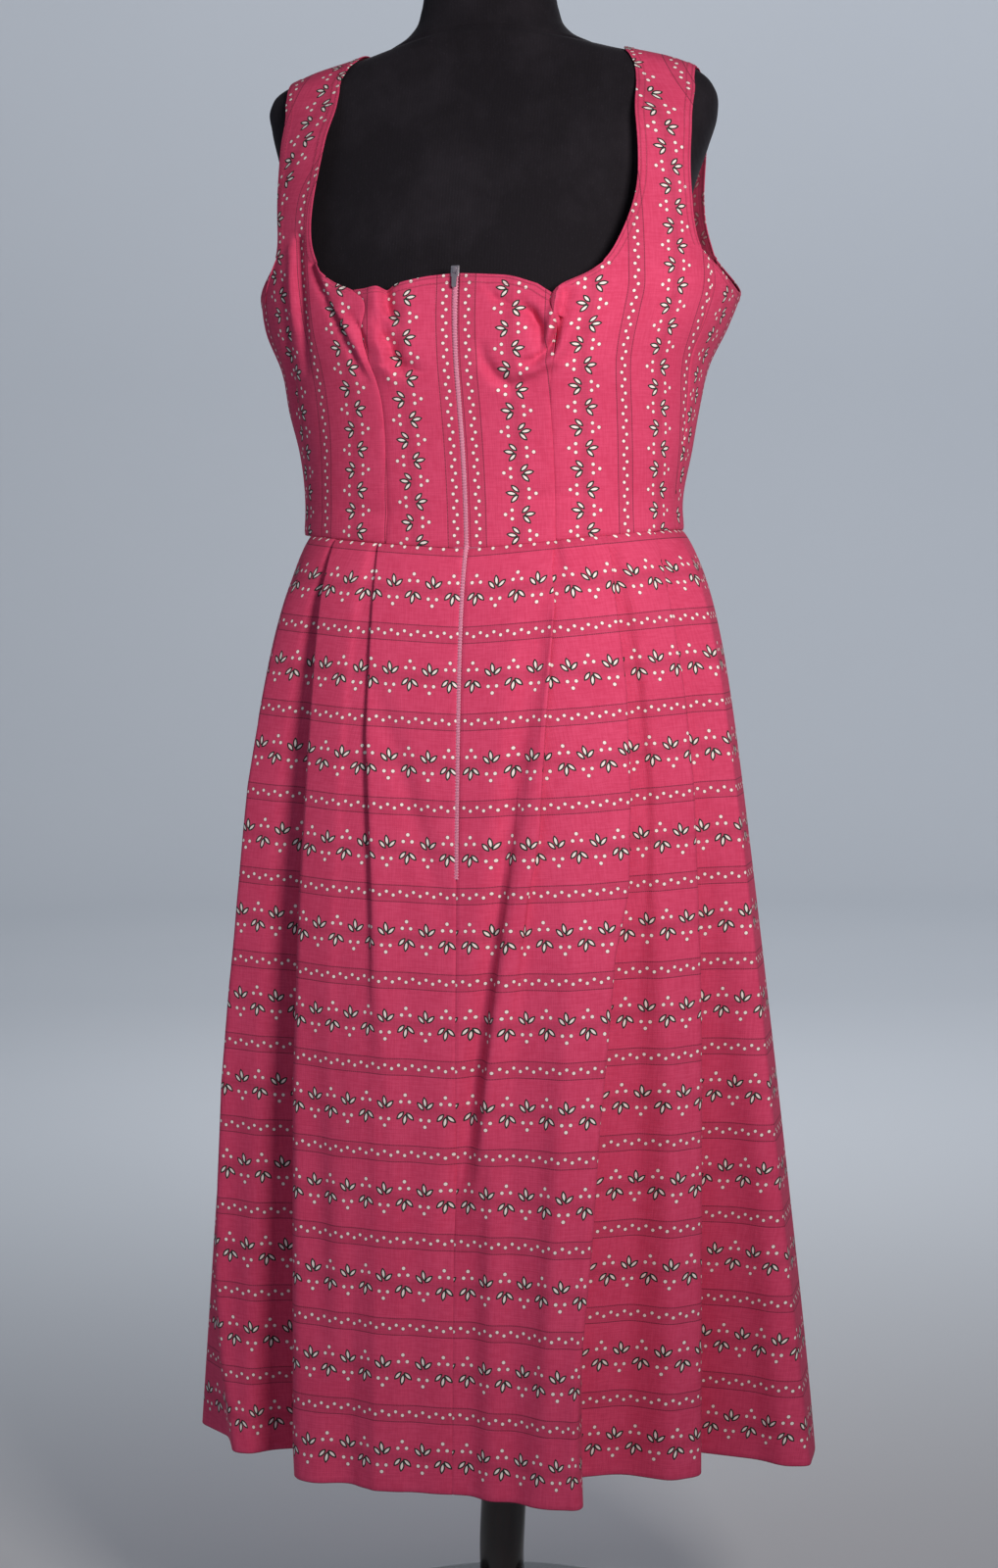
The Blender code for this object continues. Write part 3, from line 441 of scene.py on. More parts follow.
@dataclass(frozen=True)
class PrintChart:
    """The common small print: bands of three-petal flowers and dot triangles, and between them
    chains of dots on a finely screened strip. Sizes in millimetres.

    A band repeats along itself every tile. Its lower half is its upper half mirrored and moved
    on by half a tile, and so is a chain's.
    """

    tile: float = 34.5
    band: float = 72.0
    petals: tuple[Petal, ...] = (
        Petal(-4.0, 4.2, 42.0, 3.0, 0.95),
        Petal(-0.2, 7.6, 10.0, 3.3, 1.0),
        Petal(4.3, 4.9, -46.0, 3.1, 0.95),
    )
    petal_outline: float = 1.2
    tip_outline: float = 1.7
    dots: tuple[Dot, ...] = (Dot(3.6, 7.2, 1.4), Dot(0.0, 12.8, 1.4))
    chain_step: float = 11.5
    chain_dot: Dot = Dot(0.0, 1.45, 1.3)
    ring: float = 0.45
    strip: float = 6.8
    haze: float = 7.0
    strip_strength: float = 0.16
    haze_strength: float = 0.20
    softness: float = 0.16
    ring_strength: float = 0.55
    line_half: float = 0.42
    line_pitch: float = 1.9
    line_swing: float = 0.2
    line_strength: float = 0.75

    def masks(self, tree: Tree, place: Socket) -> tuple[Socket, Socket, Socket]:
        """Masks of the white, dark and screened parts of the print.

        Args:
            tree: the material's nodes.
            place: the pattern's place, in metres along and across the bands.

        Returns:
            The three masks, from 0 to 1.
        """
        scaled = add(tree, "VectorMath", {0: place, "Scale": 1000.0}, operation="SCALE")
        parts = tree.nodes.new("ShaderNodeSeparateXYZ")
        tree.links.new(scaled, parts.inputs[0])
        along, up = parts.outputs[0], parts.outputs[1]
        half = self.band / 2
        shifted = add(tree, "Math", {0: up, 1: half}, operation="ADD")
        in_band = add(tree, "Math", {0: shifted, 1: half, 2: -half}, operation="WRAP")
        in_chain = add(tree, "Math", {0: up, 1: half, 2: -half}, operation="WRAP")
        flower, group = self.folded(tree, along, in_band, self.tile)
        chain, _ = self.folded(tree, along, in_chain, self.chain_step)
        whites, darks = [], []
        for petal in self.petals:
            white, dark = self.petal(tree, flower, petal)
            whites.append(white)
            darks.append(dark)
        for where, dot in [(group, dot) for dot in self.dots] + [(chain, self.chain_dot)]:
            middle = (dot.across, dot.up, 0.0)
            reach = add(tree, "VectorMath", {0: where, 1: middle}, "Value", operation="DISTANCE")
            whites.append(self.inside(tree, reach, dot.radius))
            rim = self.inside(tree, reach, dot.radius + self.ring)
            darks.append(add(tree, "Math", {0: rim, 1: self.ring_strength}, operation="MULTIPLY"))
        white, dark = whites[0], darks[0]
        for other in whites[1:]:
            white = add(tree, "Math", {0: white, 1: other}, operation="MAXIMUM")
        for other in darks[1:]:
            dark = add(tree, "Math", {0: dark, 1: other}, operation="MAXIMUM")
        return white, dark, self.screen(tree, along, in_band, in_chain)

    def folded(self, tree: Tree, along: Socket, up: Socket, step: float) -> tuple[Socket, Socket]:
        """Places folded into the upper half of one repeat.

        The half below the middle line is mirrored up and moved by half a step. The first place
        is from the flower, the second from the group half a step on, mirrored about itself.
        """
        below = add(tree, "Math", {0: up, 1: 0.0}, operation="LESS_THAN")
        moved = add(tree, "Math", {0: below, 1: step / 2, 2: along}, operation="MULTIPLY_ADD")
        near = add(tree, "Math", {0: moved, 1: step / 2, 2: -step / 2}, operation="WRAP")
        height = add(tree, "Math", {0: up}, operation="ABSOLUTE")
        size = add(tree, "Math", {0: near}, operation="ABSOLUTE")
        far = add(tree, "Math", {0: step / 2, 1: size}, operation="SUBTRACT")
        first = add(tree, "CombineXYZ", {0: near, 1: height})
        second = add(tree, "CombineXYZ", {0: far, 1: height})
        return first, second

    def inside(self, tree: Tree, reach: Socket, radius: float) -> Socket:
        """1 inside this radius, 0 outside, with a soft edge."""
        bounds = {"From Min": radius - self.softness, "From Max": radius + self.softness}
        ends = {"To Min": 1.0, "To Max": 0.0}
        return add(tree, "MapRange", {"Value": reach, **bounds, **ends}, interpolation_type="SMOOTHSTEP")

    def petal(self, tree: Tree, place: Socket, petal: Petal) -> tuple[Socket, Socket]:
        """White and dark masks of a petal: the overlap of two circles, which has pointed tips.

        With a half length a and a half width b, the circles' radius is (a**2 + b**2) / 2b, and their
        middles stand the radius less b to each side of the petal's line.
        """
        middle = (petal.across, petal.up, 0.0)
        lean = -math.radians(petal.lean)
        values = {"Vector": place, "Center": middle, "Angle": lean}
        turned = add(tree, "VectorRotate", values, rotation_type="Z_AXIS")
        from_middle = add(tree, "VectorMath", {0: turned, 1: middle}, operation="SUBTRACT")
        mirrored = add(tree, "VectorMath", {0: from_middle}, operation="ABSOLUTE")
        masks = []
        for more_length, more_width in ((0.0, 0.0), (self.tip_outline, self.petal_outline)):
            a, b = petal.half_length + more_length, petal.half_width + more_width
            radius = (a * a + b * b) / (2 * b)
            offset = (radius - b, 0.0, 0.0)
            from_circle = add(tree, "VectorMath", {0: mirrored, 1: offset}, operation="ADD")
            reach = add(tree, "VectorMath", {0: from_circle}, "Value", operation="LENGTH")
            masks.append(self.inside(tree, reach, radius))
        return masks[0], masks[1]

    def screen(self, tree: Tree, along: Socket, in_band: Socket, in_chain: Socket) -> Socket:
        """Mask of the fine dark screen: a strip under each chain with a thin dotted line at both
        its edges, and a haze about the flowers' middle line."""
        from_chain = add(tree, "Math", {0: in_chain}, operation="ABSOLUTE")
        strip = self.inside(tree, from_chain, self.strip)
        strip = add(tree, "Math", {0: strip, 1: self.strip_strength}, operation="MULTIPLY")
        off = add(tree, "Math", {0: from_chain, 1: self.strip}, operation="SUBTRACT")
        off = add(tree, "Math", {0: off}, operation="ABSOLUTE")
        line = self.inside(tree, off, self.line_half)
        wave = add(tree, "Math", {0: along, 1: TAU / self.line_pitch}, operation="MULTIPLY")
        wave = add(tree, "Math", {0: wave}, operation="SINE")
        values = {0: wave, 1: self.line_swing, 2: self.line_strength}
        wave = add(tree, "Math", values, operation="MULTIPLY_ADD")
        line = add(tree, "Math", {0: line, 1: wave}, operation="MULTIPLY")
        from_band = add(tree, "Math", {0: in_band}, operation="ABSOLUTE")
        values = {"Value": from_band, "From Max": self.haze, "To Min": self.haze_strength, "To Max": 0.0}
        haze = add(tree, "MapRange", values, interpolation_type="SMOOTHSTEP")
        mask = add(tree, "Math", {0: strip, 1: haze}, operation="MAXIMUM")
        return add(tree, "Math", {0: mask, 1: line}, operation="MAXIMUM")


@dataclass(frozen=True)
class PrintedCotton:
    """Plain-weave cotton, screen printed: matt, with thread slubs that vary the dye and a faint
    sheen at grazing angles."""

    ground: str = "#D84B73"
    deep: str = "#CC3F66"
    screen: str = "#6A2C40"
    outline: str = "#25302D"
    white: str = "#F7EFEC"
    thread_mm: float = 0.9  # woven at 0.35 mm, drawn coarser so that it shows
    slub_mm: float = 7.0
    roughness: float = 0.82
    wrong_side: bool = False
    # painted shade along the stitched rows inside turned edges
    shadow: str = "#7C2540"
    sheen: str = "#F7B7C6"
    cover: float = 0.97
    show_through: float = 0.35
    # rows of painted shade: distance in from a turned edge and strength, then half widths where full and
    # where gone
    edge_shade_rows: tuple[tuple[float, float], ...] = ((0.0022, 0.45), (0.0070, 0.40))
    row_half: tuple[float, float] = (0.0002, 0.0011)
    chart: PrintChart = PrintChart()

    def build(self) -> Material:
        """Make the material."""
        side = "wrong_side" if self.wrong_side else "right_side"
        made, tree = new_material(f"printed_cotton_{side}")
        place = add(tree, "UVMap", uv_map="Pattern")
        slub = self.slubs(tree, place)
        ground = add(tree, "Mix", {"Factor": slub, "A": linear(self.deep), "B": linear(self.ground)}, **RGBA)
        white, dark, screen = self.chart.masks(tree, place)
        strength = self.show_through if self.wrong_side else 1.0
        colour = ground
        for mask, ink, share in (
            (screen, self.screen, 1.0),
            (dark, self.outline, strength),
            (white, self.white, self.cover * strength),
        ):
            amount = add(tree, "Math", {0: mask, 1: share}, operation="MULTIPLY")
            colour = add(tree, "Mix", {"Factor": amount, "A": colour, "B": linear(ink)}, **RGBA)
        # painted shade along the turned edges' stitched rows
        colour = self.turned_edge_shade(tree, colour)
        shading = {
            "Base Color": colour,
            "Roughness": self.roughness,
            "Normal": self.weave(tree, place, slub),
            "Sheen Weight": 0.03,
            "Sheen Roughness": 0.5,
            "Sheen Tint": linear(self.sheen),
            "Specular IOR Level": 0.18,
        }
        finish_surface(tree, shading)
        return made

    def turned_edge_shade(self, tree: Tree, colour: Socket) -> Socket:
        """Paint shade along the stitched rows inside a turned edge, where the cloth is drawn in."""
        edge = add(tree, "UVMap", uv_map="Finish")
        parts = tree.nodes.new("ShaderNodeSeparateXYZ")
        tree.links.new(edge, parts.inputs[0])
        for inset, share in self.edge_shade_rows:
            off = add(tree, "Math", {0: parts.outputs[0], 1: inset}, operation="SUBTRACT")
            off = add(tree, "Math", {0: off}, operation="ABSOLUTE")
            ends = {"From Min": self.row_half[0], "From Max": self.row_half[1]}
            values = {"Value": off, **ends, "To Min": share, "To Max": 0.0}
            amount = add(tree, "MapRange", values, interpolation_type="SMOOTHSTEP")
            colour = add(tree, "Mix", {"Factor": amount, "A": colour, "B": linear(self.shadow)}, **RGBA)
        return colour

    def slubs(self, tree: Tree, place: Socket) -> Socket:
        """Uneven dye along warp and weft: two noises, each drawn out along one thread direction."""
        total = None
        for stretch in ((0.12, 1.0, 1.0), (1.0, 0.12, 1.0)):
            drawn = add(tree, "VectorMath", {0: place, 1: stretch}, operation="MULTIPLY")
            values = {"Vector": drawn, "Scale": 1000 / self.slub_mm * 4, "Detail": 2.0, "Roughness": 0.6}
            noise = add(tree, "TexNoise", values, noise_dimensions="2D")
            total = noise if total is None else add(tree, "Math", {0: total, 1: noise}, operation="ADD")
        broad = add(tree, "TexNoise", {"Vector": place, "Scale": 22.0, "Detail": 3.0}, noise_dimensions="2D")
        total = add(tree, "Math", {0: broad, 1: 0.6, 2: total}, operation="MULTIPLY_ADD")
        values = {"Value": total, "From Min": 1.0, "From Max": 1.6}
        return add(tree, "MapRange", values)

    def weave(self, tree: Tree, place: Socket, slub: Socket) -> Socket:
        """Relief of the weave: the product of a wave along the warp and one along the weft, with
        the slubs on it."""
        waves = []
        for direction in ("X", "Y"):
            values = {"Vector": place, "Scale": wave_scale(self.thread_mm), "Distortion": 0.4}
            waves.append(add(tree, "TexWave", values, "Fac", bands_direction=direction))
        height = add(tree, "Math", {0: waves[0], 1: waves[1]}, operation="MULTIPLY")
        height = add(tree, "Math", {0: slub, 1: 0.8, 2: height}, operation="MULTIPLY_ADD")
        values = {"Height": height, "Strength": 0.22, "Distance": 0.0004}
        return add(tree, "Bump", values)


@dataclass(frozen=True)
class Thread:
    """Twisted polyester sewing thread: a soft satin line in the cloth's own colour."""

    deep: str = "#A83A58"
    colour: str = "#C8486A"

    def build(self) -> Material:
        """Make the material, with the fine light and dark of the twist."""
        made, tree = new_material("polyester_sewing_thread")
        place = add(tree, "TexCoord", out="Object")
        twist = add(tree, "TexNoise", {"Vector": place, "Scale": 1500.0})
        values = {"Factor": twist, "A": linear(self.deep), "B": linear(self.colour)}
        colour = add(tree, "Mix", values, **RGBA)
        finish_surface(tree, {"Base Color": colour, "Roughness": 0.55, "Sheen Weight": 0.2})
        return made


@dataclass(frozen=True)
class ZipTape:
    """Woven polyester zip tape: dull mauve-pink with a fine upright herringbone."""

    deep: str = "#9C4867"
    colour: str = "#B95A7C"
    rib_mm: float = 0.9

    def build(self) -> Material:
        """Make the material."""
        made, tree = new_material("polyester_zip_tape")
        place = add(tree, "TexCoord", out="Object")
        values = {"Vector": place, "Scale": wave_scale(self.rib_mm), "Distortion": 1.0}
        ribs = add(tree, "TexWave", values, "Fac", bands_direction="X")
        values = {"Factor": ribs, "A": linear(self.deep), "B": linear(self.colour)}
        colour = add(tree, "Mix", values, **RGBA)
        bump = add(tree, "Bump", {"Height": ribs, "Strength": 0.4, "Distance": 0.0002})
        finish_surface(tree, {"Base Color": colour, "Roughness": 0.7, "Normal": bump, "Sheen Weight": 0.2})
        return made


@dataclass(frozen=True)
class ZipCoil:
    """Nylon monofilament, wound and dyed: pink-mauve, smooth, slightly translucent gloss."""

    deep: str = "#DD88AA"
    colour: str = "#F3A6C2"

    def build(self) -> Material:
        """Make the material, slightly uneven from turn to turn."""
        made, tree = new_material("nylon_zip_coil")
        place = add(tree, "TexCoord", out="Object")
        uneven = add(tree, "TexNoise", {"Vector": place, "Scale": 320.0})
        values = {"Factor": uneven, "A": linear(self.deep), "B": linear(self.colour)}
        colour = add(tree, "Mix", values, **RGBA)
        finish_surface(tree, {"Base Color": colour, "Roughness": 0.32, "IOR": 1.53})
        return made


@dataclass(frozen=True)
class SliderMetal:
    """Die-cast zinc alloy, nickel plated: bright, slightly lilac from the cloth round it, with
    fine scratches from use."""

    colour: str = "#C6BFCA"
    scratch_mm: float = 0.5

    def build(self) -> Material:
        """Make the material."""
        made, tree = new_material("nickel_plated_zinc")
        place = add(tree, "TexCoord", out="Object")
        drawn = add(tree, "VectorMath", {0: place, 1: (1.0, 1.0, 0.15)}, operation="MULTIPLY")
        scratches = add(tree, "TexNoise", {"Vector": drawn, "Scale": 1000 / self.scratch_mm, "Detail": 3.0})
        rough = add(tree, "MapRange", {"Value": scratches, "To Min": 0.26, "To Max": 0.46})
        bump = add(tree, "Bump", {"Height": scratches, "Strength": 0.15, "Distance": 0.0001})
        shading = {"Base Color": linear(self.colour), "Metallic": 1.0, "Roughness": rough, "Normal": bump}
        finish_surface(tree, shading)
        return made


@dataclass(frozen=True)
class FormJersey:
    """Fine black jersey stretched over padding: matt, with knit ribs, a soft pile that catches
    side light, a few scuffs and stray lint."""

    colour: str = "#17141A"
    worn: str = "#38343C"
    pile: str = "#5A5A64"
    knit_mm: float = 1.3  # knitted at 0.5 mm, drawn coarser so that it shows

    def build(self) -> Material:
        """Make the material."""
        made, tree = new_material("black_cotton_jersey")
        place = add(tree, "TexCoord", out="Object")
        cloudy = add(tree, "TexNoise", {"Vector": place, "Scale": 14.0, "Detail": 4.0, "Roughness": 0.65})
        fluff = add(tree, "TexNoise", {"Vector": place, "Scale": 900.0, "Detail": 1.0})
        speck = add(tree, "MapRange", {"Value": fluff, "From Min": 0.62, "From Max": 0.85, "To Max": 0.5})
        wear = add(tree, "MapRange", {"Value": cloudy, "From Min": 0.45, "From Max": 0.8, "To Max": 0.35})
        amount = add(tree, "Math", {0: speck, 1: wear}, operation="ADD")
        values = {"Factor": amount, "A": linear(self.colour), "B": linear(self.worn)}
        colour = add(tree, "Mix", values, **RGBA)
        values = {"Vector": place, "Scale": wave_scale(self.knit_mm), "Distortion": 0.8}
        ribs = add(tree, "TexWave", values, "Fac", bands_direction="X")
        height = add(tree, "Math", {0: fluff, 1: 0.8, 2: ribs}, operation="MULTIPLY_ADD")
        bump = add(tree, "Bump", {"Height": height, "Strength": 0.3, "Distance": 0.0004})
        shading = {
            "Base Color": colour,
            "Roughness": 0.9,
            "Normal": bump,
            "Sheen Weight": 0.35,
            "Sheen Roughness": 0.45,
            "Sheen Tint": linear(self.pile),
            "Specular IOR Level": 0.2,
        }
        finish_surface(tree, shading)
        return made


@dataclass(frozen=True)
class LacqueredBeech:
    """Turned beech, stained black-brown and lacquered: deep gloss over a barely visible grain."""

    dark: str = "#0E0807"
    light: str = "#2A1712"
    grain_mm: float = 2.5

    def build(self) -> Material:
        """Make the material."""
        made, tree = new_material("black_lacquered_beech")
        place = add(tree, "TexCoord", out="Object")
        drawn = add(tree, "VectorMath", {0: place, 1: (1.0, 1.0, 0.06)}, operation="MULTIPLY")
        grain = add(tree, "TexNoise", {"Vector": drawn, "Scale": 1000 / self.grain_mm, "Detail": 4.0})
        amount = add(tree, "MapRange", {"Value": grain, "From Min": 0.4, "From Max": 0.75})
        values = {"Factor": amount, "A": linear(self.dark), "B": linear(self.light)}
        colour = add(tree, "Mix", values, **RGBA)
        rough = add(tree, "MapRange", {"Value": grain, "To Min": 0.1, "To Max": 0.22})
        shading = {"Base Color": colour, "Roughness": rough, "Coat Weight": 0.4, "Coat Roughness": 0.06}
        finish_surface(tree, shading)
        return made


@dataclass(frozen=True)
class StudioPaint:
    """Matt emulsion of the studio's floor and sweep: pale, cool grey, slightly uneven."""

    deep: str = "#D0D4D9"
    colour: str = "#D6D9DD"

    def build(self) -> Material:
        """Make the material."""
        made, tree = new_material("matt_pale_paint")
        place = add(tree, "TexCoord", out="Object")
        uneven = add(tree, "TexNoise", {"Vector": place, "Scale": 0.8, "Detail": 2.0})
        values = {"Factor": uneven, "A": linear(self.deep), "B": linear(self.colour)}
        colour = add(tree, "Mix", values, **RGBA)
        finish_surface(tree, {"Base Color": colour, "Roughness": 0.95, "Specular IOR Level": 0.1})
        return made


# The body's form


class Side(Enum):
    """A side of the dress, as the viewer sees it."""

    LEFT = -1
    RIGHT = 1

    @property
    def word(self) -> str:
        """The side's word in the pieces' names."""
        return self.name.lower()

    @property
    def pick(self) -> int:
        """The side's column in a table: left is 0, right 1."""
        return 0 if self is Side.LEFT else 1


class Ring(NamedTuple):
    """One level section of a body: its height, half widths and depths from the centre line."""

    height: float
    left: float
    right: float
    front: float
    back: float


DRESS_RINGS = (
    Ring(0.992, 0.171, 0.166, 0.1125, 0.100),
    Ring(1.030, 0.167, 0.162, 0.1140, 0.099),
    Ring(1.080, 0.1705, 0.171, 0.1220, 0.101),
    Ring(1.115, 0.1785, 0.1775, 0.1310, 0.105),
    Ring(1.150, 0.184, 0.186, 0.1400, 0.110),
    Ring(1.185, 0.198, 0.2035, 0.1420, 0.115),
    Ring(1.212, 0.202, 0.213, 0.1380, 0.118),
    Ring(1.250, 0.200, 0.203, 0.1270, 0.119),
    Ring(1.300, 0.198, 0.199, 0.1100, 0.115),
    Ring(1.340, 0.198, 0.199, 0.0940, 0.106),
    Ring(1.400, 0.196, 0.197, 0.0700, 0.085),
)
FORM_RINGS = (
    Ring(0.740, 0.150, 0.150, 0.105, 0.100),
    Ring(0.800, 0.160, 0.160, 0.113, 0.110),
    Ring(0.870, 0.155, 0.155, 0.108, 0.105),
    Ring(0.940, 0.138, 0.138, 0.094, 0.090),
    Ring(0.995, 0.128, 0.128, 0.086, 0.080),
    Ring(1.060, 0.134, 0.134, 0.092, 0.084),
    Ring(1.120, 0.150, 0.150, 0.108, 0.092),
    Ring(1.170, 0.163, 0.163, 0.121, 0.099),
    Ring(1.215, 0.170, 0.170, 0.119, 0.104),
    Ring(1.260, 0.170, 0.166, 0.107, 0.105),
    Ring(1.300, 0.180, 0.174, 0.093, 0.103),
    Ring(1.335, 0.189, 0.187, 0.079, 0.096),
    Ring(1.360, 0.1950, 0.1950, 0.068, 0.085),
    Ring(1.380, 0.1965, 0.1935, 0.059, 0.074),
    Ring(1.392, 0.188, 0.1845, 0.054, 0.066),
    Ring(1.4005, 0.1705, 0.1705, 0.051, 0.061),
    Ring(1.406, 0.156, 0.156, 0.0495, 0.059),
    Ring(1.412, 0.132, 0.132, 0.049, 0.0585),
    Ring(1.418, 0.107, 0.107, 0.050, 0.0585),
    Ring(1.4235, 0.0895, 0.0895, 0.051, 0.058),
    Ring(1.4285, 0.078, 0.078, 0.0515, 0.057),
    Ring(1.438, 0.066, 0.066, 0.051, 0.055),
    Ring(1.455, 0.0585, 0.0585, 0.050, 0.053),
    Ring(1.475, 0.0555, 0.0555, 0.049, 0.051),
    Ring(1.500, 0.055, 0.055, 0.0485, 0.0505),
    Ring(1.530, 0.0555, 0.0555, 0.049, 0.051),
)


def ring_sizes(rings: tuple[Ring, ...], height: Array) -> list[Array]:
    """Left, right, front and back of the section at this height."""
    heights = [ring.height for ring in rings]
    columns = ("left", "right", "front", "back")
    return [smooth_table(height, heights, [getattr(ring, c) for ring in rings]) for c in columns]


@dataclass(frozen=True)
class BodyForm:
    """The dress's closed sections: its own below the chest, the form's with a gap at the
    shoulder, and the fullness of two cups in front."""

    centre_x: float = 0.005
    squareness: float = 2.3
    rest_from: float = 1.340
    rest_full: float = 1.392
    rest_gap: float = 0.0013
    cup_forward: float = 0.009
    cup_across: float = 0.086
    cup_height: float = 1.166
    cup_breadth: float = 0.040
    cup_fade: tuple[float, float] = (0.02, 0.07)
    waist_front: float = 0.9955
    waist_rise: float = 0.0145
    waist_power: float = 1.2
    shoulder: tuple[float, float] = (1.362, 1.4285)
    rise_heights: tuple[float, float] = (0.98, 1.44)
    rise_angle: float = 0.75

    def dress_sizes(self, height: Array) -> list[Array]:
        """The dress's left, right, front and back at this height."""
        height = np.asarray(height, float)
        resting = ease(height, self.rest_from, self.rest_full)
        own = ring_sizes(DRESS_RINGS, height)
        form = ring_sizes(FORM_RINGS, height - self.rest_gap)
        return [(1 - resting) * a + resting * (b + self.rest_gap) for a, b in zip(own, form)]

    def section(self, angle: Array, height: Array, sizes: list[Array]) -> Array:
        """A point of a section: angle 0 is the centre front, +90 the right side, 180 the back.

        Across it is the half width times the sine to the power 2 / squareness, and deep it is
        the depth times the cosine to the same power, both with their signs.
        """
        sine, cosine = np.sin(angle), np.cos(angle)
        left, right, front, back = sizes
        width = np.where(sine < 0, left, right)
        depth = np.where(cosine > 0, front, back)
        power = 2 / self.squareness
        x = self.centre_x + width * np.sign(sine) * np.abs(sine) ** power
        y = -depth * np.sign(cosine) * np.abs(cosine) ** power
        return np.stack([x, y, height], axis=-1)

    def point(self, angle: Array | float, height: Array | float) -> Array:
        """A point of the dress: its section, moved forward by the two cups."""
        angle, height = np.broadcast_arrays(np.asarray(angle, float), np.asarray(height, float))
        point = self.section(angle, height, self.dress_sizes(height))
        aside = (np.abs(point[..., 0] - self.centre_x) - self.cup_across) / self.cup_breadth
        above = (point[..., 2] - self.cup_height) / self.cup_breadth
        fullness = self.cup_forward * np.exp(-(aside**2 + above**2) / 2)
        point[..., 1] -= fullness * ease(-point[..., 1], *self.cup_fade)
        return point

    def angle_at_x(self, x: Array | float, height: Array | float, back: bool = False) -> Array:
        """The angle at which the dress's section at this height has this x."""
        left, right, _, _ = self.dress_sizes(height)
        x = np.asarray(x, float) - self.centre_x
        share = np.clip(np.abs(x) / np.where(x < 0, left, right), 0.0, 1.0)
        angle = np.arcsin(share ** (self.squareness / 2))
        return np.sign(x) * (math.pi - angle if back else angle)

    def angle_at_y(self, depth: Array, height: Array, side: Side, back: bool = False) -> Array:
        """The angle at which the section is this deep in front of, or behind, its side line."""
        sizes = self.dress_sizes(height)
        share = np.clip(np.asarray(depth, float) / sizes[3 if back else 2], 0.0, 1.0)
        angle = np.arccos(share ** (self.squareness / 2))
        return side.value * (math.pi - angle if back else angle)

    def ridge_height(self, x: Array | float) -> Array:
        """Height of the shoulder's top line where a strap lies on it."""
        heights = np.linspace(*self.shoulder, 120)
        _, right, _, _ = self.dress_sizes(heights)
        return np.interp(np.abs(np.asarray(x, float) - self.centre_x), right[::-1], heights[::-1])

    def waist_height(self, angle: Array) -> Array:
        """The waist seam dips at the centre front and is level from the sides to the back."""
        share = np.abs(np.sin(angle)) ** (2 / self.squareness)
        return self.waist_front + self.waist_rise * np.where(np.cos(angle) > 0, share**self.waist_power, 1.0)

    def girth(self, angle: Array, height: Array, steps: int = 40) -> Array:
        """Distance round the section from the centre front, negative to the left: the sum of
        short straight steps."""
        share = np.linspace(0, 1, steps)[:, None, None]
        points = self.point(angle[None] * share, np.broadcast_to(height, angle.shape)[None])
        return np.sign(angle) * np.linalg.norm(np.diff(points, axis=0), axis=-1).sum(axis=0)

    def rise(self, height: Array) -> Array:
        """Distance up the cloth from the waist, along a line over the front of the body."""
        heights = np.linspace(*self.rise_heights, 300)
        points = self.point(self.rise_angle, heights)
        return np.interp(height, heights, run_length(points[None], 1)[0])


# The bodice


class StrapEdge(NamedTuple):
    """A place on both edges of a strap: distances from x = 0 on the left and right side."""

    inner_height: float
    inner_left: float
    inner_right: float
    outer_height: float
    outer_left: float
    outer_right: float


FRONT_STRAP = (
    StrapEdge(1.3870, 0.1110, 0.1366, 1.3800, 0.1660, 0.1850),
    StrapEdge(1.3620, 0.1178, 0.1412, 1.3540, 0.1660, 0.1850),
    StrapEdge(1.3350, 0.1218, 0.1450, 1.3280, 0.1680, 0.1850),
    StrapEdge(1.3070, 0.1265, 0.1477, 1.3020, 0.1690, 0.1855),
    StrapEdge(1.2830, 0.1296, 0.1463, 1.2800, 0.1676, 0.1875),
    StrapEdge(1.2600, 0.1293, 0.1400, 1.2620, 0.1650, 0.1890),
    StrapEdge(1.2420, 0.1245, 0.1335, 1.2430, 0.1640, 0.1931),
)
BACK_STRAP = (
    StrapEdge(1.3870, 0.1040, 0.1230, 1.3800, 0.1670, 0.1830),
    StrapEdge(1.3600, 0.1080, 0.1220, 1.3500, 0.1710, 0.1825),
    StrapEdge(1.3370, 0.1060, 0.1180, 1.3220, 0.1720, 0.1805),
    StrapEdge(1.3220, 0.0990, 0.1100, 1.2960, 0.1720, 0.1780),
    StrapEdge(1.3130, 0.0880, 0.0980, 1.2700, 0.1740, 0.1800),
    StrapEdge(1.3080, 0.0750, 0.0850, 1.2450, 0.1760, 0.1860),
)
SHOULDER_INNER = (0.1000, 0.1240)
SHOULDER_OUTER = (0.1670, 0.1835)
SHOULDER_DROPS = (0.0, 0.0005, 0.0022, 0.0056, 0.0110)
SHOULDER_BLEND = 0.020


class Seam(NamedTuple):
    """A long seam: rows of height and distance on the left and on the right, from the top down.
    The distances are from x = 0, or by_depth, from the side line."""

    back: bool
    by_depth: bool
    rows: Rows


FRONT_PRINCESS = Seam(
    back=False,
    by_depth=False,
    rows=(
        (1.2260, 0.1138, 0.1240), (1.2170, 0.1020, 0.1115), (1.2085, 0.0830, 0.0935),
        (1.1720, 0.0746, 0.0900), (1.1250, 0.0626, 0.0815), (1.0700, 0.0631, 0.0800),
        (0.9900, 0.0671, 0.0791),
    ),
)
PRINCESS_TOP = 2
BACK_PRINCESS = Seam(
    back=True,
    by_depth=False,
    rows=(
        (1.3080, 0.0750, 0.0850), (1.2400, 0.0700, 0.0800), (1.1700, 0.0620, 0.0720),
        (1.1000, 0.0560, 0.0660), (1.0400, 0.0560, 0.0660), (0.9900, 0.0600, 0.0700),
    ),
)
FRONT_SIDE_SEAM = Seam(
    back=False,
    by_depth=True,
    rows=(
        (1.2430, 0.0780, 0.0590), (1.2000, 0.0640, 0.0590), (1.1600, 0.0500, 0.0500),
        (1.1100, 0.0320, 0.0320), (1.0500, 0.0210, 0.0210), (0.9900, 0.0170, 0.0170),
    ),
)
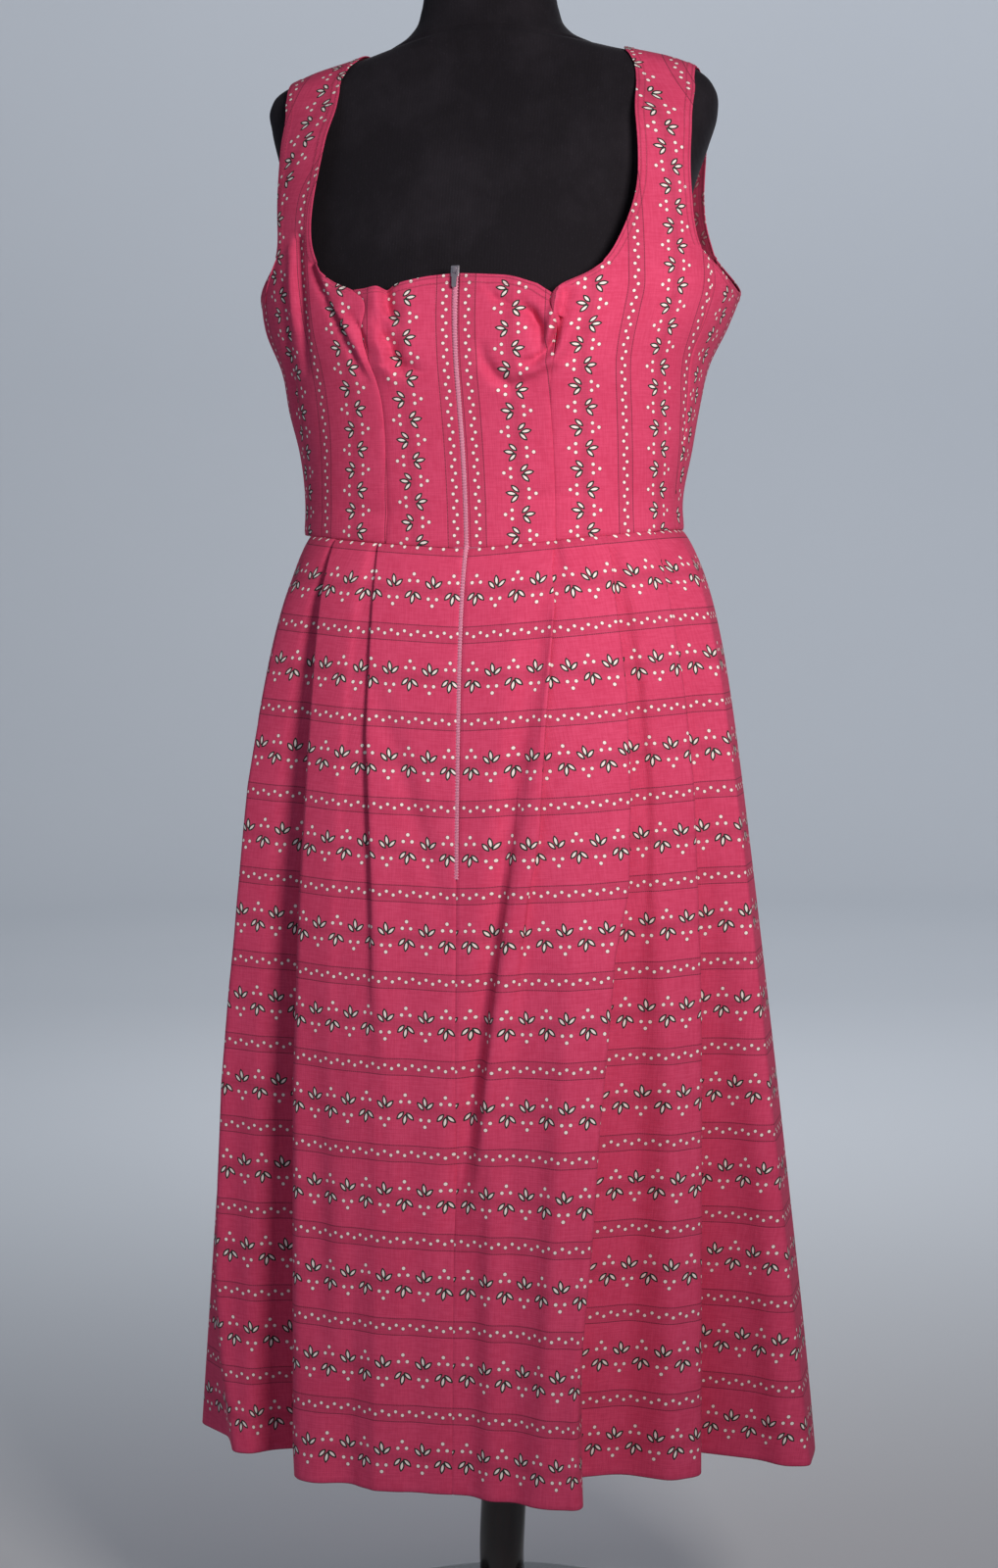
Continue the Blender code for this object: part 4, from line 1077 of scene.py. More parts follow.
BACK_SIDE_SEAM = Seam(
    back=True,
    by_depth=True,
    rows=(
        (1.2450, 0.0600, 0.0593), (1.2000, 0.0640, 0.0640), (1.1500, 0.0640, 0.0640),
        (1.0800, 0.0540, 0.0540), (0.9900, 0.0500, 0.0500),
    ),
)
NECKLINE = {
    Side.LEFT: ((0.00, 1.2190), (0.23, 1.2170), (0.45, 1.2135), (0.65, 1.2100), (0.82, 1.2092),
        (1.00, 1.2090)),
    Side.RIGHT: ((0.00, 1.2190), (0.23, 1.2175), (0.45, 1.2155), (0.65, 1.2105), (0.82, 1.2060),
        (1.00, 1.2010)),
}
BACK_NECKLINE = ((0.0, 1.3040), (0.5, 1.3048), (1.0, 1.3080))


class Crease(NamedTuple):
    """A soft trough, or with a positive depth a ridge: its line as (x, z) places, its breadth
    on the left and on the right of the way along it, its depth, and how much of it is left at
    the line's start and end."""

    line: Rows
    left: float
    right: float
    depth: float
    start: float
    end: float


FRONT_CREASES = (
    # left cup: the turned edge curls over a hollow, and the cloth folds over another below it
    Crease(((-0.0560, 1.2110), (-0.0545, 1.1963), (-0.0508, 1.1873), (-0.0454, 1.1815)),
        0.0080, 0.0028, -0.0085, 1.0, 0.2),
    Crease(((-0.0606, 1.2110), (-0.0595, 1.1963), (-0.0564, 1.1860)), 0.0028, 0.0100, 0.0042, 1.0, 0.1),
    Crease(((-0.0575, 1.1787), (-0.0550, 1.1675), (-0.0510, 1.1616), (-0.0500, 1.1516), (-0.0450, 1.1440),
        (-0.0370, 1.1420), (-0.0279, 1.1455)), 0.0090, 0.0030, -0.0080, 0.3, 0.0),
    Crease(((-0.0620, 1.1787), (-0.0600, 1.1660), (-0.0565, 1.1600), (-0.0552, 1.1500), (-0.0490, 1.1395),
        (-0.0382, 1.1370)), 0.0028, 0.0090, 0.0044, 0.2, 0.0),
    # right cup: a tuck at the seam over a pocket, below which the cloth hangs in two loops
    Crease(((0.0580, 1.1950), (0.0690, 1.1860), (0.0755, 1.1740), (0.0765, 1.1590)),
        0.0044, 0.0060, -0.0110, 0.2, 0.5),
    Crease(((0.0895, 1.2000), (0.0860, 1.1775), (0.0815, 1.1589), (0.0733, 1.1513)),
        0.0030, 0.0034, 0.0060, 0.9, 0.0),
    Crease(((0.0963, 1.2021), (0.0929, 1.1838), (0.0889, 1.1681), (0.0829, 1.1558), (0.0714, 1.1467),
        (0.0567, 1.1439)), 0.0040, 0.0040, -0.0070, 0.8, 0.0),
    Crease(((0.1026, 1.1932), (0.0974, 1.1720), (0.0923, 1.1580), (0.0840, 1.1480), (0.0708, 1.1398),
        (0.0559, 1.1347)), 0.0070, 0.0040, 0.0052, 0.2, 0.0),
    Crease(((0.0868, 1.1442), (0.0736, 1.1359), (0.0618, 1.1284), (0.0487, 1.1263), (0.0371, 1.1336),
        (0.0283, 1.1478), (0.0250, 1.1659)), 0.0050, 0.0060, -0.0048, 0.0, 0.0),
    Crease(((0.0321, 1.2062), (0.0398, 1.1971), (0.0514, 1.1927), (0.0622, 1.1844)),
        0.0034, 0.0034, -0.0034, 0.3, 0.3),
    Crease(((0.1003, 1.1990), (0.0990, 1.1798), (0.0956, 1.1642)), 0.0030, 0.0030, -0.0024, 0.6, 0.0),
    Crease(((0.1116, 1.1743), (0.1013, 1.1572), (0.0930, 1.1449)), 0.0060, 0.0050, -0.0034, 0.0, 0.0),
    # left strap's corner: sharp creases towards the cup, and long ones down the side
    Crease(((-0.1231, 1.2330), (-0.1136, 1.2121), (-0.1038, 1.1973), (-0.0928, 1.1780), (-0.0844, 1.1592),
        (-0.0769, 1.1431), (-0.0696, 1.1303)), 0.0024, 0.0030, -0.0050, 0.9, 0.0),
    Crease(((-0.1170, 1.2320), (-0.1050, 1.2072), (-0.0905, 1.1858), (-0.0779, 1.1612),
        (-0.0694, 1.1389)), 0.0056, 0.0028, 0.0050, 0.7, 0.0),
    Crease(((-0.1046, 1.2089), (-0.0912, 1.1940), (-0.0798, 1.1812), (-0.0729, 1.1689),
        (-0.0687, 1.1530)), 0.0026, 0.0030, -0.0036, 0.7, 0.0),
    Crease(((-0.1428, 1.2560), (-0.1361, 1.2099), (-0.1330, 1.1770), (-0.1337, 1.1411)),
        0.0046, 0.0034, -0.0066, 0.8, 0.0),
    Crease(((-0.1490, 1.2480), (-0.1430, 1.2099), (-0.1400, 1.1770)), 0.0040, 0.0046, 0.0036, 0.5, 0.0),
    Crease(((-0.1557, 1.2203), (-0.1508, 1.1868), (-0.1536, 1.1470), (-0.1516, 1.0900)),
        0.0034, 0.0060, -0.0046, 0.7, 0.0),
    # soft ones over the waist and at the right side
    Crease(((0.1150, 1.1450), (0.1080, 1.1150), (0.1050, 1.0700)), 0.0090, 0.0080, -0.0018, 0.0, 0.0),
    Crease(((0.0300, 1.0420), (0.0700, 1.0380), (0.1200, 1.0420)), 0.0070, 0.0070, -0.0014, 0.0, 0.0),
    Crease(((-0.0250, 1.0300), (-0.0700, 1.0260), (-0.1150, 1.0310)), 0.0070, 0.0070, -0.0016, 0.0, 0.0),
    Crease(((0.1580, 1.2300), (0.1640, 1.1950), (0.1620, 1.1600)), 0.0080, 0.0080, -0.0024, 0.4, 0.0),
)
BACK_CREASES = (
    Crease(((-0.0700, 1.2350), (-0.0200, 1.2280), (0.0500, 1.2320)), 0.0100, 0.0070, -0.0026, 0.0, 0.0),
    Crease(((-0.0600, 1.0450), (0.0000, 1.0400), (0.0700, 1.0460)), 0.0080, 0.0060, -0.0022, 0.0, 0.0),
    Crease(((-0.0900, 1.0650), (-0.0300, 1.0600), (0.0300, 1.0640)), 0.0070, 0.0060, -0.0016, 0.0, 0.0),
    Crease(((0.1200, 1.2600), (0.1100, 1.2200), (0.1040, 1.1700)), 0.0060, 0.0080, -0.0032, 0.5, 0.0),
    Crease(((-0.1180, 1.2650), (-0.1080, 1.2200), (-0.1010, 1.1750)), 0.0080, 0.0060, -0.0030, 0.5, 0.0),
)
# Where the print's lines run over the side panels: height and distance round from the centre front
PRINT_LINE_RIGHT = (
    (0.980, 0.1720), (1.099, 0.1741), (1.151, 0.1777), (1.188, 0.1842), (1.205, 0.1863),
    (1.225, 0.1852), (1.279, 0.1793), (1.304, 0.1745), (1.327, 0.1669), (1.355, 0.1555),
    (1.383, 0.1366), (1.420, 0.1150),
)
PRINT_LINE_LEFT = (
    (0.980, 0.1390), (1.044, 0.1359), (1.132, 0.1304), (1.175, 0.1375), (1.213, 0.1427),
    (1.244, 0.1473), (1.271, 0.1497), (1.297, 0.1454), (1.330, 0.1220), (1.359, 0.1060),
    (1.389, 0.0950), (1.420, 0.0800),
)
# The print on the front centres: its line's distance from the zip, and the height of a flower
CENTRE_PRINT = {Side.LEFT: (0.0085, 1.1025), Side.RIGHT: (0.0105, 1.091)}
# The same on the front sides, with the print's own measure on its line
SIDE_PRINT = {Side.LEFT: (PRINT_LINE_LEFT, 1.113, 0.072), Side.RIGHT: (PRINT_LINE_RIGHT, 1.077, 0.108)}


class Flat(NamedTuple):
    """A panel's cut: the width and length of the cloth that it is cut from, and its area."""

    width: float
    length: float
    area: float


@dataclass
class Bodice:
    """The bodice: two front centre panels, four side panels with the straps, two underarm
    panels and the back's centre panel."""

    body: BodyForm
    right_side: Material
    wrong_side: Material
    seam_gap: float = 0.0003
    waist_gap: float = 0.0003
    zip_top: float = 1.2190
    zip_below: float = 0.01  # how far below the waist the front edges are worked out
    armhole_low: float = 1.2095
    armhole_roundness: float = 0.7
    fine_step: float = 0.0014
    side_step: float = 0.0019
    edge_roll: float = 0.0011
    edge_breadth: float = 0.0022
    binding: tuple[float, float] = (0.0060, 0.0090)
    binding_rise: float = 0.0005
    stitch_rows: tuple[float, ...] = (0.0018, 0.0068)
    zip_stitch: float = 0.0130
    back_phase: float = 1.10
    underarm_phase: float = 1.09
    crease_fade: float = 0.7
    # for the spacing of points: about how wide the panels are, and how deep the front centre is
    centre_width: float = 0.080
    centre_drop: float = 0.215
    side_width: float = 0.075
    back_width: float = 0.140
    underarm_width: float = 0.085
    edge_steps: tuple[float, ...] = (0.0006, 0.0013, 0.0021)
    seam_rows_front: int = 84
    seam_rows_back: int = 120
    seam_rows_side: int = 96
    seam_steps: int = 12
    front_steps: int = 9
    per_span: int = 11
    strap_fade: int = 14  # rows over which a side panel's edges begin to roll below the strap
    foot_fade: float = 0.75
    # over these heights the print's distance round the body gives way to the distance in x
    plain_from: float = 1.30
    plain_full: float = 1.37

    def __post_init__(self) -> None:
        """Start with no stitches."""
        self.stitch_lines: list[tuple[Array, Array]] = []

    def spread(self, length: float, step: float = 0.0025, fewest: int = 8) -> Array:
        """Shares across a panel: even steps in the middle and closer ones at both edges."""
        count = max(int(round(length / step)), fewest)
        even = np.linspace(0, 1, count + 1)
        near = np.array(self.edge_steps) / length
        return np.unique(np.concatenate([even, near, 1 - near]))

    def seam_rows(self, seam: Seam, side: Side, heights: Array) -> Array:
        """(angle, height) rows of a seam at these heights."""
        heights = np.asarray(heights, float)
        table = np.array(seam.rows)[::-1]
        distance = smooth_table(heights, table[:, 0], table[:, 1 + side.pick])
        if seam.by_depth:
            angles = self.body.angle_at_y(distance, heights, side, seam.back)
        else:
            angles = self.body.angle_at_x(side.value * distance, heights, seam.back)
        return np.stack([angles, heights], axis=1)

    def waist_start(self, seam: Seam, side: Side, rounds: int = 6) -> float:
        """Height of the waist seam where this seam comes down to it, by coming closer in rounds."""
        height = self.body.waist_front + self.body.waist_rise
        for _ in range(rounds):
            height = float(self.body.waist_height(self.seam_rows(seam, side, [height])[0, 0]))
        return height

    def seam_down(self, seam: Seam, side: Side, top: float, count: int) -> Array:
        """Rows of a seam from a height down to the waist."""
        return self.seam_rows(seam, side, np.linspace(top, self.waist_start(seam, side), count))

    def strap_rows(self, side: Side, strap: tuple[StrapEdge, ...], back: bool) -> tuple[Array, Array]:
        """Coarse (angle, height) rows of a strap's inner and outer edge, from the shoulder down."""
        inner, outer = [], []
        low = strap[0]
        ends = (
            (inner, SHOULDER_INNER[side.pick], low[1 + side.pick]),
            (outer, SHOULDER_OUTER[side.pick], low[4 + side.pick]),
        )
        for drop in SHOULDER_DROPS:
            share = float(ease(drop, 0, SHOULDER_BLEND))
            for rows, top_x, low_x in ends:
                x = side.value * (top_x * (1 - share) + low_x * share)
                height = float(self.body.ridge_height(x)) - drop
                rows.append((float(self.body.angle_at_x(x, height, back)), height))
        for edge in strap:
            for rows, height, x in (
                (inner, edge.inner_height, edge[1 + side.pick]),
                (outer, edge.outer_height, edge[4 + side.pick]),
            ):
                rows.append((float(self.body.angle_at_x(side.value * x, height, back)), height))
        return np.array(inner), np.array(outer)

    def refine(self, coarse: Array, per_span: int) -> Array:
        """A cubic curve through coarse rows, with this many steps in each span."""
        at = np.linspace(0, len(coarse) - 1, (len(coarse) - 1) * per_span + 1)
        numbers = np.arange(len(coarse))
        return np.stack([smooth_table(at, numbers, column) for column in coarse.T], axis=1)

    def between(self, inner: Array, outer: Array, share: Array) -> Array:
        """(angle, height) grid between two edges; its last row lies on the waist seam."""
        share = share[None, :, None]
        grid = inner[:, None] * (1 - share) + outer[:, None] * share
        short = grid[-1, :, 1] - self.body.waist_height(grid[-1, :, 0]) - self.waist_gap
        fade = ease(np.arange(len(grid)), len(grid) * self.foot_fade, len(grid) - 1)
        grid[..., 1] -= fade[:, None] * short[None]
        return grid

    def drape(self, places: Array, sewn: list[GridEdge], back: bool) -> Array:
        """Put a grid of (angle, height) on the body, give it its creases and roll its sewn edges.

        A crease moves the cloth along its normal by its depth times the bell curve of the
        distance from its line. A sewn edge goes in by the roll times the exponential of the
        distance from the edge.

        Args:
            places: the grid's angles and heights.
            sewn: the edges that are sewn to another panel, besides the waist.
            back: whether the panel belongs to the back.

        Returns:
            The grid's points, whose normals face outwards.
        """
        grid = self.body.point(places[..., 0], places[..., 1])
        grid = self.drawn_in(grid, sewn)
        if not self.faces_out(grid):
            grid = grid[:, ::-1]
            flipped = {GridEdge.START: GridEdge.END, GridEdge.END: GridEdge.START}
            sewn = [flipped.get(edge, edge) for edge in sewn]
        normals = grid_normals(grid)
        move = np.zeros(grid.shape[:2])
        for crease in BACK_CREASES if back else FRONT_CREASES:
            move += self.crease_depth(grid, crease)
        roll = run_length(grid[::-1], 0)[::-1]
        inward = np.exp(-roll / self.edge_breadth)
        for edge in sewn:
            inward = np.maximum(inward, self.near_edge(grid, edge))
        return grid + normals * (move - self.edge_roll * inward)[..., None]

    def near_edge(self, grid: Array, edge: GridEdge) -> Array:
        """1 at an edge, and less away from it by the exponential of the distance."""
        return back_from(np.exp(-run_length(from_edge(grid, edge), 0) / self.edge_breadth), edge)

    def faces_out(self, grid: Array) -> bool:
        """Whether the grid's normals point away from the body's middle line."""
        middle = np.array([self.body.centre_x, 0.0])
        return float((grid_normals(grid)[..., :2] * (grid[..., :2] - middle)).sum()) > 0

    def drawn_in(self, grid: Array, sewn: list[GridEdge]) -> Array:
        """Move the sewn edges inwards by half the seam gap."""
        grid = grid.copy()
        pairs = {
            GridEdge.TOP: (grid[0], grid[1]),
            GridEdge.START: (grid[:, 0], grid[:, 1]),
            GridEdge.END: (grid[:, -1], grid[:, -2]),
        }
        for edge in sewn:
            outermost, following = pairs[edge]
            outermost += self.seam_gap / 2 * unit(following - outermost)
        return grid

    def crease_depth(self, grid: Array, crease: Crease) -> Array:
        """How far a crease moves each point: for every stretch of its line, the depth times the
        bell curve of the distance, faded along the line; the strongest stretch counts."""
        line = np.array(crease.line)
        lengths = run_length(line[None], 1)[0]
        flat = grid[..., (0, 2)]
        result = np.zeros(grid.shape[:2])
        for start, end, run in zip(line[:-1], line[1:], lengths):
            step = end - start
            length = np.linalg.norm(step)
            share = np.clip(((flat - start) @ step) / length**2, 0.0, 1.0)
            off = flat - start - share[..., None] * step
            distance = np.linalg.norm(off, axis=-1)
            leftward = step[0] * off[..., 1] - step[1] * off[..., 0] > 0
            breadth = np.where(leftward, crease.left, crease.right)
            along = (run + share * length) / lengths[-1]
            fade = np.sin(math.pi * along) ** self.crease_fade
            fade = np.maximum(fade, np.where(along < 0.5, crease.start, crease.end))
            depth = crease.depth * fade * np.exp(-((distance / breadth) ** 2))
            result = np.where(np.abs(depth) > np.abs(result), depth, result)
        return result

    def bind(self, grid: Array, edges: list[tuple[GridEdge, int, int]]) -> tuple[Array, Array]:
        """Raise the turned edges and note the distance from them.

        Args:
            grid: the panel's points.
            edges: the turned edges, and the part of each, as point numbers.

        Returns:
            The raised grid, and the distance from the nearest turned edge and along it.
        """
        finish = np.full(grid.shape[:2] + (2,), 1.0)
        for edge, first, last in edges:
            reach = run_length(from_edge(grid, edge), 0)
            along = run_length(from_edge(grid, edge), 1)
            inside = np.zeros(reach.shape, dtype=bool)
            inside[:, first:last] = True
            reach = back_from(np.where(inside, reach, 1.0), edge)
            along = back_from(along, edge)
            nearer = reach < finish[..., 0]
            finish[..., 0] = np.where(nearer, reach, finish[..., 0])
            finish[..., 1] = np.where(nearer, along, finish[..., 1])
        rise = self.binding_rise * (1 - ease(finish[..., 0], *self.binding))
        return grid + grid_normals(grid) * rise[..., None], finish

    def sew(self, grid: Array, edges: list[tuple[GridEdge, int, int]], insets: tuple[float, ...]) -> None:
        """Note stitched lines at these distances from the edges."""
        for edge, first, last in edges:
            for inset in insets:
                self.stitch_lines.append(inset_line(grid, edge, first, last, inset))

    def finish_panel(self, cut: str, side: Side | None, grid: Array, pattern: Array, finish: Array) -> None:
        """Make a panel's shell and dress it."""
        node = f"{cut}_{side.word}" if side else cut
        obj = cloth_shell(f"{node}_cloth", grid, pattern, finish)
        dress(obj, "cloth", [self.right_side, self.wrong_side], node)

    def top_edged(self, places: Array, sewn: list[GridEdge], back: bool) -> tuple[Array, Array]:
        """Drape a panel, and turn and stitch its top edge; the points and the finish map."""
        grid = self.drape(places, sewn, back)
        edges = [(GridEdge.TOP, 0, grid.shape[1])]
        grid, finish = self.bind(grid, edges)
        self.sew(grid, edges, self.stitch_rows)
        return grid, finish

    def between_seams(self, first: Array, second: Array, share: Array, head: Array) -> Array:
        """(angle, height) grid between two seams' columns of angles, from the head to the waist."""
        angles = first * (1 - share) + second * share
        foot = self.body.waist_height(angles) + self.waist_gap
        down = np.linspace(0, 1, len(angles))[:, None]
        return np.stack([angles, head + (foot - head) * down], axis=-1)

    def down_from(self, phase: float, height: Array) -> Array:
        """Distance down the cloth from the height at which a flower stands."""
        return self.body.rise(np.asarray(phase)) - self.body.rise(height)

    def pattern(self, grid: Array, line: Rows | float, side: Side, phase: float, mark: float) -> Array:
        """The print's place on a panel: down the cloth, and across it from the print's line.

        Across is the distance round the section less the line's distance at this height; above
        the chest the plain distance in x takes its place. The line itself is at mark.

        Args:
            grid: the panel's points.
            line: rows of height and distance of the print's line, or one distance.
            side: the panel's side.
            phase: the height at which a flower stands.
            mark: the print's own measure on the line.

        Returns:
            The place along and across the print, in metres.
        """
        body = self.body
        x, y, z = grid[..., 0], grid[..., 1], grid[..., 2]
        angle = body.angle_at_x(x, z)
        angle = np.where(y > 0, np.sign(angle) * math.pi - angle, angle)
        front = np.abs(angle) <= math.pi / 2
        mirrored = np.where(front, angle, np.sign(angle) * math.pi - angle)
        around = np.abs(body.girth(mirrored, z))
        across = np.abs(x - body.centre_x)
        blend = ease(z, self.plain_from, self.plain_full)
        measure = around * (1 - blend) + across * blend
        if isinstance(line, float):
            start = np.full(z.shape, line)
        else:
            table = np.array(line)
            start = smooth_table(z, table[:, 0], table[:, 1])
        return np.stack([self.down_from(phase, z), side.value * (measure - start + mark)], axis=-1)

    def front_centre(self, side: Side) -> None:
        """A front centre panel, from the zip to the princess seam and from waist to neckline."""
        top = FRONT_PRINCESS.rows[PRINCESS_TOP][0]
        edge = self.seam_down(FRONT_PRINCESS, side, top, self.seam_rows_front)
        low = self.body.waist_front - self.zip_below
        heights = np.linspace(self.zip_top, low, self.seam_rows_front)
        gaps = zip_half_gap(heights)
        inner = self.body.angle_at_x(self.body.centre_x + side.value * gaps, heights)
        share = self.spread(self.centre_width, self.fine_step)
        foot = self.body.waist_height(inner[-1] * (1 - share) + edge[-1, 0] * share) + self.waist_gap
        table = np.array(NECKLINE[side])
        head = smooth_table(share, table[:, 0], table[:, 1])[None]
        down = self.spread(self.centre_drop, self.fine_step)[:, None]
        height = head + (foot - head) * down
        along_zip = np.interp(height, heights[::-1], inner[::-1])
        along_seam = np.interp(height, edge[::-1, 1], edge[::-1, 0])
        places = np.stack([along_zip * (1 - share) + along_seam * share, height], axis=-1)
        grid, finish = self.top_edged(places, [GridEdge.END], False)
        zip_edge = GridEdge.START if side is Side.RIGHT else GridEdge.END
        self.sew(grid, [(zip_edge, 0, len(grid))], (self.zip_stitch,))
        start, phase = CENTRE_PRINT[side]
        pattern = self.pattern(grid, start, side, phase, 0.0)
        self.finish_panel("front_centre", side, grid, pattern, finish)

    def side_with_strap(self, side: Side, back: bool) -> None:
        """A side panel of the front or back with its strap, from the shoulder to the waist."""
        strap = BACK_STRAP if back else FRONT_STRAP
        princess = BACK_PRINCESS if back else FRONT_PRINCESS
        side_seam = BACK_SIDE_SEAM if back else FRONT_SIDE_SEAM
        inner, outer = self.strap_rows(side, strap, back)
        top = princess.rows[0][0]
        if back:
            inner_heights = np.linspace(top, self.waist_start(princess, side), self.seam_steps)[1:]
        else:
            neck = [row[0] for row in princess.rows[: PRINCESS_TOP + 1]]
            below = np.linspace(neck[-1], self.waist_start(princess, side), self.front_steps)[1:]
            inner_heights = np.concatenate([neck, below])
        low = self.waist_start(side_seam, side)
        outer_heights = np.linspace(side_seam.rows[0][0], low, self.seam_steps)
        per_span = self.per_span
        strap_spans = len(inner) - (1 if back else 0)
        inner = self.edge_through(inner, princess, side, inner_heights, per_span)
        outer = self.edge_through(outer[:-1], side_seam, side, outer_heights, per_span)
        places = self.between(inner, outer, self.spread(self.side_width, self.side_step))
        grid = self.drape_side(places, back, strap_spans * per_span)
        free_inner = (strap_spans if back else strap_spans + PRINCESS_TOP) * per_span + 1
        free_outer = (len(SHOULDER_DROPS) + len(strap) - 1) * per_span + 1
        inner_edge, outer_edge = GridEdge.START, GridEdge.END
        if (side is Side.LEFT) != back:
            inner_edge, outer_edge = outer_edge, inner_edge
        edges = [(inner_edge, 0, free_inner), (outer_edge, 0, free_outer)]
        grid, finish = self.bind(grid, edges)
        self.sew(grid, edges, self.stitch_rows)
        if back:
            pattern = self.pattern(grid, 0.0, side, self.back_phase, 0.0)
        else:
            line, phase, mark = SIDE_PRINT[side]
            pattern = self.pattern(grid, line, side, phase, mark)
        self.finish_panel("back_side" if back else "front_side", side, grid, pattern, finish)

    def smoothed(self, rows: Array, last: int, passes: int = 70) -> Array:
        """Even out the first rows of an edge: each becomes the mean of itself and its two
        neighbours, over and over. Both ends stay."""
        rows = rows.copy()
        for _ in range(passes):
            rows[1:last] = (rows[: last - 1] + 2 * rows[1:last] + rows[2 : last + 1]) / 4
        return rows

    def edge_through(self, strap: Array, seam: Seam, side: Side, heights: Array, per_span: int) -> Array:
        """An edge that follows the strap's coarse rows and then the seam at these heights."""
        coarse = np.vstack([strap, self.seam_rows(seam, side, heights)])
        fine = self.refine(coarse, per_span)
        fine = self.smoothed(fine, len(strap) * per_span + per_span)
        joint = len(strap) * per_span
        numbers = np.arange(len(heights))
        at = np.linspace(0, len(heights) - 1, (len(heights) - 1) * per_span + 1)
        fine[joint:] = self.seam_rows(seam, side, np.interp(at, numbers, heights))
        return fine

    def drape_side(self, places: Array, back: bool, strap_rows: int) -> Array:
        """Drape a side panel: its edges are sewn below the strap only, and its top on the
        shoulder."""
        grid = self.drape(places, [GridEdge.TOP], back)
        normals = grid_normals(grid)
        numbers = np.arange(len(grid))
        fade = ease(numbers, strap_rows, strap_rows + self.strap_fade)[:, None]
        inward = np.zeros(grid.shape[:2])
        for edge in (GridEdge.START, GridEdge.END):
            inward = np.maximum(inward, self.near_edge(grid, edge))
        moved = grid - normals * (self.edge_roll * inward * fade)[..., None]
        half = self.seam_gap / 2
        for column, following in ((0, 1), (-1, -2)):
            step = unit(moved[:, following] - moved[:, column])
            moved[:, column] += half * step * (numbers > strap_rows)[:, None]
        return moved

    def back_centre(self) -> None:
        """The back's centre panel, between its two princess seams, up to the back neckline."""
        top = BACK_PRINCESS.rows[0][0]
        edges = [self.seam_down(BACK_PRINCESS, side, top, self.seam_rows_back)[:, :1] % TAU for side in Side]
        share = self.spread(self.back_width)[None]
        table = np.array(BACK_NECKLINE)
        head = smooth_table(np.abs(2 * share - 1), table[:, 0], table[:, 1])
        places = self.between_seams(*edges, share, head)
        grid, finish = self.top_edged(places, [GridEdge.START, GridEdge.END], True)
        across = grid[..., 0] - self.body.centre_x
        pattern = np.stack([self.down_from(self.back_phase, grid[..., 2]), -across], axis=-1)
        self.finish_panel("back_centre", None, grid, pattern, finish)

    def underarm(self, side: Side) -> None:
        """The panel under the arm, between the two side seams, cut low for the armhole."""
        seams = (FRONT_SIDE_SEAM, BACK_SIDE_SEAM)
        edges = [self.seam_down(seam, side, seam.rows[0][0], self.seam_rows_side) for seam in seams]
        share = self.spread(self.underarm_width)[None]
        straight = edges[0][0, 1] * (1 - share) + edges[1][0, 1] * share
        dip = np.maximum(np.sin(math.pi * share), 0.0) ** self.armhole_roundness
        head = straight - (straight - self.armhole_low) * dip
        places = self.between_seams(edges[0][:, :1], edges[1][:, :1], share, head)
        grid, finish = self.top_edged(places, [GridEdge.START, GridEdge.END], False)
        reach = run_length(grid, 1)
        along = self.down_from(self.underarm_phase, grid[..., 2])
        pattern = np.stack([along, reach - reach[:, -1:] / 2], axis=-1)
        self.finish_panel("side_panel", side, grid, pattern, finish)

    def build(self) -> None:
        """Build every panel of the bodice."""
        for side in Side:
            self.front_centre(side)
            for back in (False, True):
                self.side_with_strap(side, back)
            self.underarm(side)
        self.back_centre()


# The skirt


HALF_SEAM = 0.00015
# Heights, and half the distance between the edges along the zip there
ZIP_HEIGHTS = (0.718, 0.735, 0.96, 1.02, 1.15, 1.219)
ZIP_HALVES = (HALF_SEAM, 0.0017, 0.0020, 0.0023, 0.0026, 0.0034)


def zip_half_gap(height: Array) -> Array:
    """Half the distance between the edges along the zip: wider at the neckline, closed below."""
    return np.interp(height, ZIP_HEIGHTS, ZIP_HALVES)


def plain_gap(height: Array) -> Array:
    """Half the gap of a plain seam."""
    return np.full(np.shape(height), HALF_SEAM)


class Pleat(NamedTuple):
    """A knife pleat whose fold points away from the centre: its place at the waist seam,
    how deep it is laid, how far down it is still a fold, where its outer fold and the
    inner fold behind it stand at the hem, and its bow: rows of the share of the length and
    how far outwards round the skirt the pleat has swung there."""

    waist: float
    tuck: float
    release: float
    fold_x: float
    fold_y: float
    inner_x: float
    inner_y: float
    bow: Rows = ((0.0, 0.0), (1.0, 0.0))


BOW_FLANK = {
    Side.LEFT: ((0.0, 0.005), (0.05, 0.005), (0.12, 0.001), (0.20, -0.003), (0.45, -0.004),
        (0.72, -0.003), (1.0, 0.0)),
    Side.RIGHT: ((0.0, 0.0), (1.0, 0.0)),
}
BOW_LEFT_1 = ((0.0, 0.001), (0.06, 0.0064), (0.14, 0.0121), (0.20, 0.0156), (0.47, 0.0150), (0.75, 0.0),
    (1.0, 0.0))
BOW_LEFT_2 = ((0.0, 0.002), (0.06, 0.0063), (0.24, 0.0102), (0.38, 0.0140), (0.58, 0.0143),
    (0.97, 0.0024), (1.0, 0.0))
BOW_LEFT_3 = (
    (0.0, -0.004), (0.04, -0.0055), (0.066, 0.0015), (0.175, 0.0136), (0.27, 0.0218), (0.375, 0.0246),
    (0.49, 0.0295), (0.60, 0.0311), (0.71, 0.0284), (0.817, 0.024), (0.914, 0.0138), (1.0, 0.0),
)
BOW_RIGHT_1 = ((0.0, -0.0037), (0.07, 0.0104), (0.15, 0.0138), (0.31, 0.0168), (0.37, 0.0100),
    (0.60, -0.010), (1.0, 0.0))
BOW_RIGHT_2 = (
    (0.0, -0.004), (0.035, 0.0046), (0.156, 0.0220), (0.27, 0.0280), (0.37, 0.0280), (0.435, 0.0173),
    (0.515, 0.0130), (0.618, 0.0065), (0.74, 0.0037), (0.85, -0.0018), (0.965, -0.0024), (1.0, -0.002),
)
